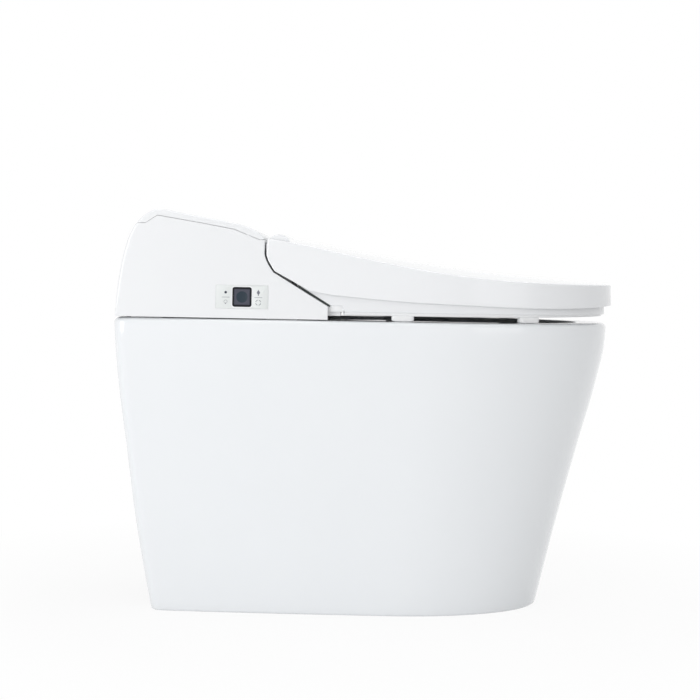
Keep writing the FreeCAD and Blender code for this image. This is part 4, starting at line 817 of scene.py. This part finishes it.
# pocket for the control plate, well of the button, vents and cord hole
panel_x = -0.1725
panel_z = 0.4294
panel_half = (0.0345, 0.01535)
button_half = (0.0125, 0.0128)
hole_corner = 0.0032
plate_front = -house_half - 0.0003
cut_from = -0.19
vent_count = 6
vent_pitch = 0.008


def rounded_rectangle(half, grow, r, count=8):
    """Ring round the panel's middle, half[0] by half[1] plus grow, with corners of radius r."""
    half_x, half_z = half[0] + grow, half[1] + grow
    ring = []
    for k, (sx, sz) in enumerate(((1, 1), (-1, 1), (-1, -1), (1, -1))):
        for i in range(count + 1):
            t = math.pi / 2 * (k + i / count)
            ring.append((panel_x + sx * (half_x - r) + r * math.cos(t),
                         panel_z + sz * (half_z - r) + r * math.sin(t)))
    return ring


def pad_between(name, ring, y0, y1):
    return outward(side_slab(name, ring, y0, y1))


pocket = rounded_rectangle(panel_half, 0.0002, 0.0008)
well = rounded_rectangle(button_half, 0.0004, hole_corner)
carve(shell, pad_between("plate_pocket", pocket, cut_from, -house_half + 0.0013))
carve(shell, pad_between("button_well", well, cut_from, -house_half + 0.0045))
for i in range(vent_count):
    y = -0.158 + vent_pitch * i
    carve(shell, block("vent", (-0.352, y - 0.002, 0.440), (-0.322, y + 0.002, 0.470)))
carve(shell, rod("cord_hole", (-0.350, -0.018, 0.430), (-0.320, -0.018, 0.430), 0.0081))
outward(shell, 30.0)
outward(cover, 30.0)
dress(shell, moulded, "toilet", "white_shell", "main_housing")
dress(cover, moulded, "toilet", "white_shell", "top_cover")

# ------------------------------------------------------------------ control plate
# Thin insert of pale grey plastic with a square hole for the button, flush in its pocket.
button_hole = rounded_rectangle(button_half, 0.0003, hole_corner)
hole_back = -0.17
trim = rounded_rectangle(panel_half, 0.0, 0.0007)
plate = pad_between("control_plate_trim", trim, plate_front, -house_half + 0.0012)
carve(plate, pad_between("button_hole", button_hole, cut_from, hole_back))
softened(plate, 0.00025, 2, 60.0)
outward(plate, 30.0)
panel_grey = Finish("pale_grey_insert", Roughness=0.38, IOR=1.46)
panel_grey.tint(9.0, 2.0, (0.745, 0.775, 0.770, 1), (0.775, 0.80, 0.795, 1))
panel_grey.roughen(90.0, 3.0, 0.1, 0.33)
dress(plate, panel_grey, "toilet", "grey_plate", "control_plate")

# ------------------------------------------------------------------ side button
# Square push cap of dark glossy acrylic with a shallow round dish.
button_front = plate_front - 0.0002
button_corner = 0.003
dish_r = 0.0078
dish_deep = 0.00045


def button_ring(inset, y):
    ring = rounded_rectangle(button_half, -inset, button_corner - inset * 0.9)
    return [(x, y, z) for x, z in ring]


def dish_ring(r, y):
    """Circle with the points of a button ring."""
    turns = [math.pi / 2 * (k + i / 8) for k in range(4) for i in range(9)]
    return [(panel_x + r * math.cos(t), y, panel_z + r * math.sin(t)) for t in turns]


cap_rings = [dish_ring(0.001, button_front + dish_deep)]
for share in np.linspace(0.2, 1.0, 9):
    cap_rings.append(dish_ring(dish_r * share, button_front + dish_deep * (1 - share**2)))
cap_rings += [button_ring(0.0022, button_front), button_ring(0.0004, button_front),
              button_ring(0.00012, button_front + 0.00012), button_ring(0.0, button_front + 0.0004),
              button_ring(0.0, -house_half + 0.0035)]
button = outward(lofted("button_cap", cap_rings), 20.0)
dark_gloss = Finish("dark_glossy_acrylic", Roughness=0.12, IOR=1.49, Specular_IOR_Level=0.25)


def axis_of(finish, axis, middle=0.0):
    """One coordinate of the surface point, in metres, measured from middle."""
    node = finish.node("ShaderNodeSeparateXYZ")
    plug(finish.tree, node.inputs[0], finish.place())
    return Wire(finish.tree, node.outputs[axis]) - middle


def inside(distance, limit, soft=0.0002):
    """1 where distance is under limit, 0 beyond, with a soft edge."""
    return ((limit - distance) * (1.0 / soft)).clamp(0.0, 1.0)


across = axis_of(dark_gloss, 0, panel_x)
up = axis_of(dark_gloss, 2, panel_z)
from_middle = (across * across + up * up).maths("SQRT")
to_side = across.maths("ABSOLUTE").maths("MAXIMUM", up.maths("ABSOLUTE"))
tone = dark_gloss.noise(30.0, 2.0)
frame_tone = dark_gloss.blend(tone, (0.004, 0.005, 0.009, 1), (0.007, 0.008, 0.013, 1))
face_tone = dark_gloss.blend(tone, (0.064, 0.067, 0.092, 1), (0.074, 0.077, 0.102, 1))
dish_tone = dark_gloss.blend(tone, (0.022, 0.037, 0.052, 1), (0.028, 0.043, 0.060, 1))
face_half = 0.0104
zones = dark_gloss.blend(inside(to_side, face_half, 0.0004), frame_tone, face_tone)
dark_gloss.set("Base Color", dark_gloss.blend(inside(from_middle, dish_r, 0.0005), zones, dish_tone))
dark_gloss.roughen(80.0, 2.0, 0.06, 0.22)
dress(button, dark_gloss, "side_button", "dark_button", "side_button")

# ------------------------------------------------------------------ bezel and printed symbols
# A narrow white lip frames the button. Either side of it the plate carries four generic
# symbols, screen-printed: a dot, a lamp, a spray and a turning ring, with a rule between.
bezel_edge = rounded_rectangle(button_half, 0.0019, 0.0044)
bezel = pad_between("button_bezel", bezel_edge, plate_front - 0.00012, plate_front + 0.0003)
carve(bezel, pad_between("bezel_hole", button_hole, cut_from, hole_back))
outward(bezel, 30.0)
dress(bezel, moulded, "toilet", "white_shell")

symbol_x = 0.0216
symbol_high = 0.0059
symbol_low = -0.0071
rule_z = -0.0005
rule_half = (0.0052, 0.00035)
ink_front = plate_front - 0.00005
ink_back = plate_front + 0.0001


def arc_points(cx, cz, r, start_deg, end_deg, count):
    turns = [math.radians(start_deg + (end_deg - start_deg) * i / count) for i in range(count + 1)]
    return [(cx + r * math.cos(t), cz + r * math.sin(t)) for t in turns]


def band(cx, cz, r, width, start_deg, end_deg, count=16):
    outside = arc_points(cx, cz, r + width / 2, start_deg, end_deg, count)
    return outside + arc_points(cx, cz, r - width / 2, end_deg, start_deg, count)


def printed(name, shapes, finish):
    marks = [side_slab("mark", shape, ink_front, ink_back) for shape in shapes]
    mark = outward(merged(name, marks), 30.0)
    dress(mark, finish, "toilet", "grey_plate")


ink_dark = Finish("dark_printing_ink", Roughness=0.45)
ink_dark.tint(400.0, 2.0, (0.006, 0.010, 0.030, 1), (0.010, 0.015, 0.040, 1))
ink_grey = Finish("grey_printing_ink", Roughness=0.45)
ink_grey.tint(400.0, 2.0, (0.14, 0.15, 0.18, 1), (0.18, 0.19, 0.22, 1))
ink_pale = Finish("pale_printing_ink", Roughness=0.45)
ink_pale.tint(400.0, 2.0, (0.34, 0.36, 0.38, 1), (0.39, 0.41, 0.43, 1))

left = panel_x - symbol_x
right = panel_x + symbol_x
printed("symbol_dot", [arc_points(left, panel_z + symbol_high, 0.0017, 0, 345, 23)], ink_dark)
rules = []
for x in (left, right):
    rules.append([(x + sx * rule_half[0], panel_z + rule_z + sz * rule_half[1])
                  for sx, sz in ((-1, -1), (1, -1), (1, 1), (-1, 1))])
printed("symbol_rules", rules, ink_pale)
lamp_z = panel_z + symbol_low + 0.0008
printed("symbol_lamp", [band(left, lamp_z, 0.0021, 0.0006, -50, 230, 24)], ink_pale)
printed("symbol_lamp_cap", [[(left - 0.0010, lamp_z - 0.0017), (left + 0.0010, lamp_z - 0.0017),
                             (left + 0.0006, lamp_z - 0.0030), (left - 0.0006, lamp_z - 0.0030)]], ink_grey)
spray_z = panel_z + symbol_high
drop_half = [(0.0012, 0.0020), (0.0021, 0.0002), (0.0017, -0.0010), (0.0006, -0.0022), (0.0006, -0.0040)]
drop = [(0.0, 0.0040)] + drop_half + [(-x, z) for x, z in reversed(drop_half)]
printed("symbol_spray", [[(right + x, spray_z + z) for x, z in drop]], ink_grey)
turning = [band(right, panel_z + symbol_low, 0.0034, 0.0007, 90 * k + 12, 90 * k + 74, 10) for k in range(4)]
printed("symbol_ring", turning, ink_grey)

# ------------------------------------------------------------------ painted shade strips
# Dark strips on the rear edge of the seat, one each side, set in the slit between the
# seat and the housing's slope when the seat is down: painted shade standing in for the deep shadow there.
strip_rear_x = -0.0985
strip_front_x = -0.0565
strip_side = (0.1500, 0.1805)
strip_low = 0.0007
strip_high = 0.0036
strip_corners = [(strip_rear_x, strip_low), (strip_front_x, strip_low),
                 (strip_front_x, strip_high), (strip_rear_x, strip_high)]
strip_line = [(x, slope(x) + lift) for x, lift in strip_corners]
strips = [outward(side_slab("strip", strip_line, strip_side[0], strip_side[1])),
          outward(side_slab("strip", strip_line, -strip_side[1], -strip_side[0]))]
painted_shade_strips = outward(merged("seat_painted_shade_strips", strips), 30.0)
# Their near-black green colour is painted shade, the shadow of the slit between seat and slope.
painted_shade_finish = Finish("painted_shade_dark_green_black", Roughness=0.55, IOR=1.5)
painted_shade_finish.tint(300.0, 3.0, (0.018, 0.026, 0.026, 1), (0.030, 0.040, 0.040, 1))
painted_shade_finish.roughen(500.0, 2.0, 0.15, 0.5)
dress(painted_shade_strips, painted_shade_finish, "seat", "rubber")

# ------------------------------------------------------------------ seat bumpers
# Four soft white pads that hang from the edge of the tray and rest on the rim. Each is a
# rounded block moulded in white elastomer and pressed into the tray, set along its edge.
bumper_size = (0.0300, 0.0120, 0.0090)
bumper_squareness = 0.42
bumper_x = (0.0395, 0.2150)
bumper_low = 0.4003
bumper_margin = 0.0008
soft_white = Finish("white_elastomer", Roughness=0.5, IOR=1.45)
soft_white.tint(200.0, 3.0, (0.84, 0.845, 0.85, 1), (0.88, 0.885, 0.89, 1))
soft_white.roughen(300.0, 2.0, 0.12, 0.46)
soft_white.grain(1500.0, 2.0, 0.15, 0.0001)

rear_x, rear_w, wide_x, wide_w, tip_x, corner = seat_plan
tray_edge = np.array(outline(rear_x + tray_inset, rear_w - tray_inset, wide_x, wide_w - tray_inset,
                             tip_x - tray_inset, corner))
into_tray = inward(tray_edge)
pad_spots = []
pad_turns = []
for x in bumper_x:
    for side in (1, -1):
        # the point of the edge that lies nearest to x on this side
        off = np.where(tray_edge[:, 1] * side > 0, np.abs(tray_edge[:, 0] - x), np.inf)
        k = int(off.argmin())
        spot = tray_edge[k] + into_tray[k] * (bumper_size[1] / 2 + bumper_margin)
        pad_spots.append((spot[0], spot[1], bumper_low + bumper_size[2] / 2))
        pad_turns.append(math.atan2(into_tray[k][1], into_tray[k][0]) + math.pi / 2)


def pads_on_points(finish):
    """Node tree that sets one rounded block on each point, turned by the point's own turn."""
    tree = bpy.data.node_groups.new("pads_on_points", "GeometryNodeTree")
    face = tree.interface
    face.new_socket("Geometry", in_out="INPUT", socket_type="NodeSocketGeometry")
    for name in ("Pad Length", "Pad Width", "Pad Height", "Squareness"):
        face.new_socket(name, in_out="INPUT", socket_type="NodeSocketFloat")
    face.new_socket("Geometry", in_out="OUTPUT", socket_type="NodeSocketGeometry")
    start = tree.nodes.new("NodeGroupInput")
    ball = tree.nodes.new("GeometryNodeMeshUVSphere")
    ball.inputs["Segments"].default_value = 48
    ball.inputs["Rings"].default_value = 24
    ball.inputs["Radius"].default_value = 1.0
    place = tree.nodes.new("GeometryNodeInputPosition")
    split = tree.nodes.new("ShaderNodeSeparateXYZ")
    tree.links.new(place.outputs[0], split.inputs[0])
    joined = tree.nodes.new("ShaderNodeCombineXYZ")

    def worked(kind, *values):
        node = tree.nodes.new("ShaderNodeMath")
        node.operation = kind
        for socket, value in zip(node.inputs, values):
            if isinstance(value, float):
                socket.default_value = value
            else:
                tree.links.new(value, socket)
        return node.outputs[0]

    for k, name in enumerate(("Pad Length", "Pad Width", "Pad Height")):
        squared = worked("POWER", worked("ABSOLUTE", split.outputs[k]), start.outputs["Squareness"])
        half = worked("MULTIPLY", start.outputs[name], 0.5)
        signed = worked("MULTIPLY", squared, worked("SIGN", split.outputs[k]))
        tree.links.new(worked("MULTIPLY", signed, half), joined.inputs[k])
    block_shape = tree.nodes.new("GeometryNodeSetPosition")
    tree.links.new(ball.outputs["Mesh"], block_shape.inputs["Geometry"])
    tree.links.new(joined.outputs[0], block_shape.inputs["Position"])
    points = tree.nodes.new("GeometryNodeMeshToPoints")
    tree.links.new(start.outputs["Geometry"], points.inputs[0])
    turn = tree.nodes.new("GeometryNodeInputNamedAttribute")
    turn.data_type = "FLOAT"
    turn.inputs["Name"].default_value = "turn"
    about_z = tree.nodes.new("ShaderNodeCombineXYZ")
    tree.links.new(turn.outputs[0], about_z.inputs[2])
    onto = tree.nodes.new("GeometryNodeInstanceOnPoints")
    tree.links.new(points.outputs[0], onto.inputs["Points"])
    tree.links.new(block_shape.outputs[0], onto.inputs["Instance"])
    tree.links.new(about_z.outputs[0], onto.inputs["Rotation"])
    real = tree.nodes.new("GeometryNodeRealizeInstances")
    tree.links.new(onto.outputs[0], real.inputs[0])
    painted = tree.nodes.new("GeometryNodeSetMaterial")
    painted.inputs["Material"].default_value = finish.material
    tree.links.new(real.outputs[0], painted.inputs["Geometry"])
    end = tree.nodes.new("NodeGroupOutput")
    tree.links.new(painted.outputs[0], end.inputs[0])
    return tree


bumpers = make_piece("seat_bumper_pads", pad_spots, [])
bumpers.data.attributes.new("turn", "FLOAT", "POINT").data.foreach_set("value", pad_turns)
step = bumpers.modifiers.new("pads", "NODES")
step.node_group = pads_on_points(soft_white)
pad_inputs = dict(zip(("Pad Length", "Pad Width", "Pad Height"), bumper_size), Squareness=bumper_squareness)
for item in step.node_group.interface.items_tree:
    if item.in_out == "INPUT" and item.name in pad_inputs:
        step[item.identifier] = pad_inputs[item.name]
graph = bpy.context.evaluated_depsgraph_get()
pads_mesh = bpy.data.meshes.new_from_object(bumpers.evaluated_get(graph))
bumpers.modifiers.clear()
bumpers.data = pads_mesh
outward(bumpers, 40.0)
dress(bumpers, soft_white, "seat", "rubber", "seat_bumpers")

# ------------------------------------------------------------------ finishes of the carried-over pieces
# Every piece that keeps its own shape gets the finish of its material slot: moulded
# plastics with a fine grain, brushed steel, turned brass, foil, laminate and hose.


def speckled(name, dark, light, rough, rough_spread, grain, depth, **constants):
    finish = Finish(name, **constants)
    finish.tint(grain * 0.1, 3.0, dark, light)
    finish.roughen(grain * 0.2, 2.0, rough_spread, rough)
    finish.grain(grain, 2.0, depth, 0.0002)
    return finish


slot_finish = {
    "ceramic": glaze,
    "white_shell": under_white,
    "grey_plate": panel_grey,
    "dark_button": dark_gloss,
    "rubber": soft_white,
    "grey_plastic": speckled("grained_grey_plastic", grey(0.24), grey(0.28), 0.42, 0.12, 900.0, 0.2),
    "black_plastic": speckled("grained_black_plastic", grey(0.010), grey(0.016), 0.40, 0.14, 900.0, 0.25),
    "steel": speckled("zinc_plated_steel", grey(0.50, 0.01), grey(0.60, 0.01),
                      0.28, 0.14, 500.0, 0.1, Metallic=1.0),
    "brass": speckled("turned_brass", (0.56, 0.36, 0.13, 1), (0.64, 0.42, 0.16, 1),
                      0.26, 0.12, 700.0, 0.1, Metallic=1.0),
    "film": speckled("heating_foil", (0.55, 0.30, 0.15, 1), (0.62, 0.36, 0.19, 1),
                     0.35, 0.15, 300.0, 0.2, Metallic=0.8),
    "board": speckled("green_laminate", (0.010, 0.075, 0.025, 1), (0.014, 0.095, 0.034, 1),
                      0.36, 0.10, 800.0, 0.1),
    "lens": speckled("frosted_lens", (0.74, 0.78, 0.80, 1), (0.80, 0.83, 0.85, 1), 0.50, 0.10, 1200.0, 0.2),
    "hose": speckled("silicone_hose", (0.55, 0.56, 0.58, 1), (0.62, 0.63, 0.65, 1), 0.45, 0.10, 600.0, 0.1),
    "carbon": speckled("pressed_carbon", grey(0.006), grey(0.012), 0.75, 0.15, 1500.0, 0.6),
}
for row in frame["record"]["subparts"]:
    carried = frame["nodes"][row["node"]]
    for socket in carried.material_slots:
        socket.material = slot_finish[row["material_slot"]].material

# ------------------------------------------------------------------ floor, backdrop and lights
# Seamless white studio. The floor and the backdrop show pure white to the camera and in
# reflections and keep a faint shadow; the lamps and the world light the object plainly.
sky_level = 0.52
floor_white = 0.90
fade_start = 0.45
fade_reach = 0.35


def seen_directly(tree):
    """1 for camera, mirror and glass rays, 0 for the rays that light the object."""
    path = tree.nodes.new("ShaderNodeLightPath")
    seen, mirrored, through_glass = [Wire(tree, path.outputs["Is " + kind + " Ray"])
                                     for kind in ("Camera", "Glossy", "Transmission")]
    return (seen + mirrored + through_glass).clamp(0.0, 1.0)


world = bpy.data.worlds.new("studio")
bpy.context.scene.world = world
world.use_nodes = True
sky = world.node_tree.nodes["Background"]
sky.inputs["Color"].default_value = grey(1.0)
plug(world.node_tree, sky.inputs["Strength"], seen_directly(world.node_tree) * (1.0 - sky_level) + sky_level)


def lamp(name, place, aim, size, power):
    data = bpy.data.lights.new(name, "AREA")
    data.shape = "RECTANGLE"
    data.size, data.size_y = size
    data.energy = power
    obj = bpy.data.objects.new(name, data)
    obj.location = place
    obj.rotation_euler = (Vector(aim) - Vector(place)).to_track_quat("-Z", "Y").to_euler()
    bpy.context.scene.collection.objects.link(obj)


lamp("top_softbox", (0.20, 0.05, 2.3), (0.06, 0.0, 0.4), (2.0, 2.0), 19.5)
lamp("side_softbox", (-1.70, -2.5, 0.55), (0.0, 0.0, 0.22), (1.5, 1.3), 33.5)
lamp("front_fill", (1.70, -2.1, 0.75), (0.10, 0.0, 0.25), (1.2, 1.2), 3.5)
floor_reach = 9.0
floor_corners = [(sx * floor_reach, sy * floor_reach, 0) for sx, sy in ((-1, -1), (1, -1), (1, 1), (-1, 1))]
floor = make_piece("studio_floor", floor_corners, [(0, 1, 2, 3)])
white = Finish("studio_white", Roughness=0.9, Base_Color=grey(0.88))
east = axis_of(white, 0)
north = axis_of(white, 1)
distance = (east * east + north * north).maths("SQRT")
fade = ((distance - fade_start) * (1.0 / fade_reach)).clamp(0.0, 1.0) * (1.0 - floor_white) + floor_white
glow = white.node("ShaderNodeEmission", Color=grey(1.0), Strength=1.0)
mixed = white.node("ShaderNodeMixShader")
plug(white.tree, mixed.inputs[0], seen_directly(white.tree) * fade)
white.tree.links.new(white.shader.outputs[0], mixed.inputs[1])
white.tree.links.new(glow.outputs[0], mixed.inputs[2])
white.tree.links.new(mixed.outputs[0], white.tree.nodes["Material Output"].inputs[0])
floor.data.materials.append(white.material)
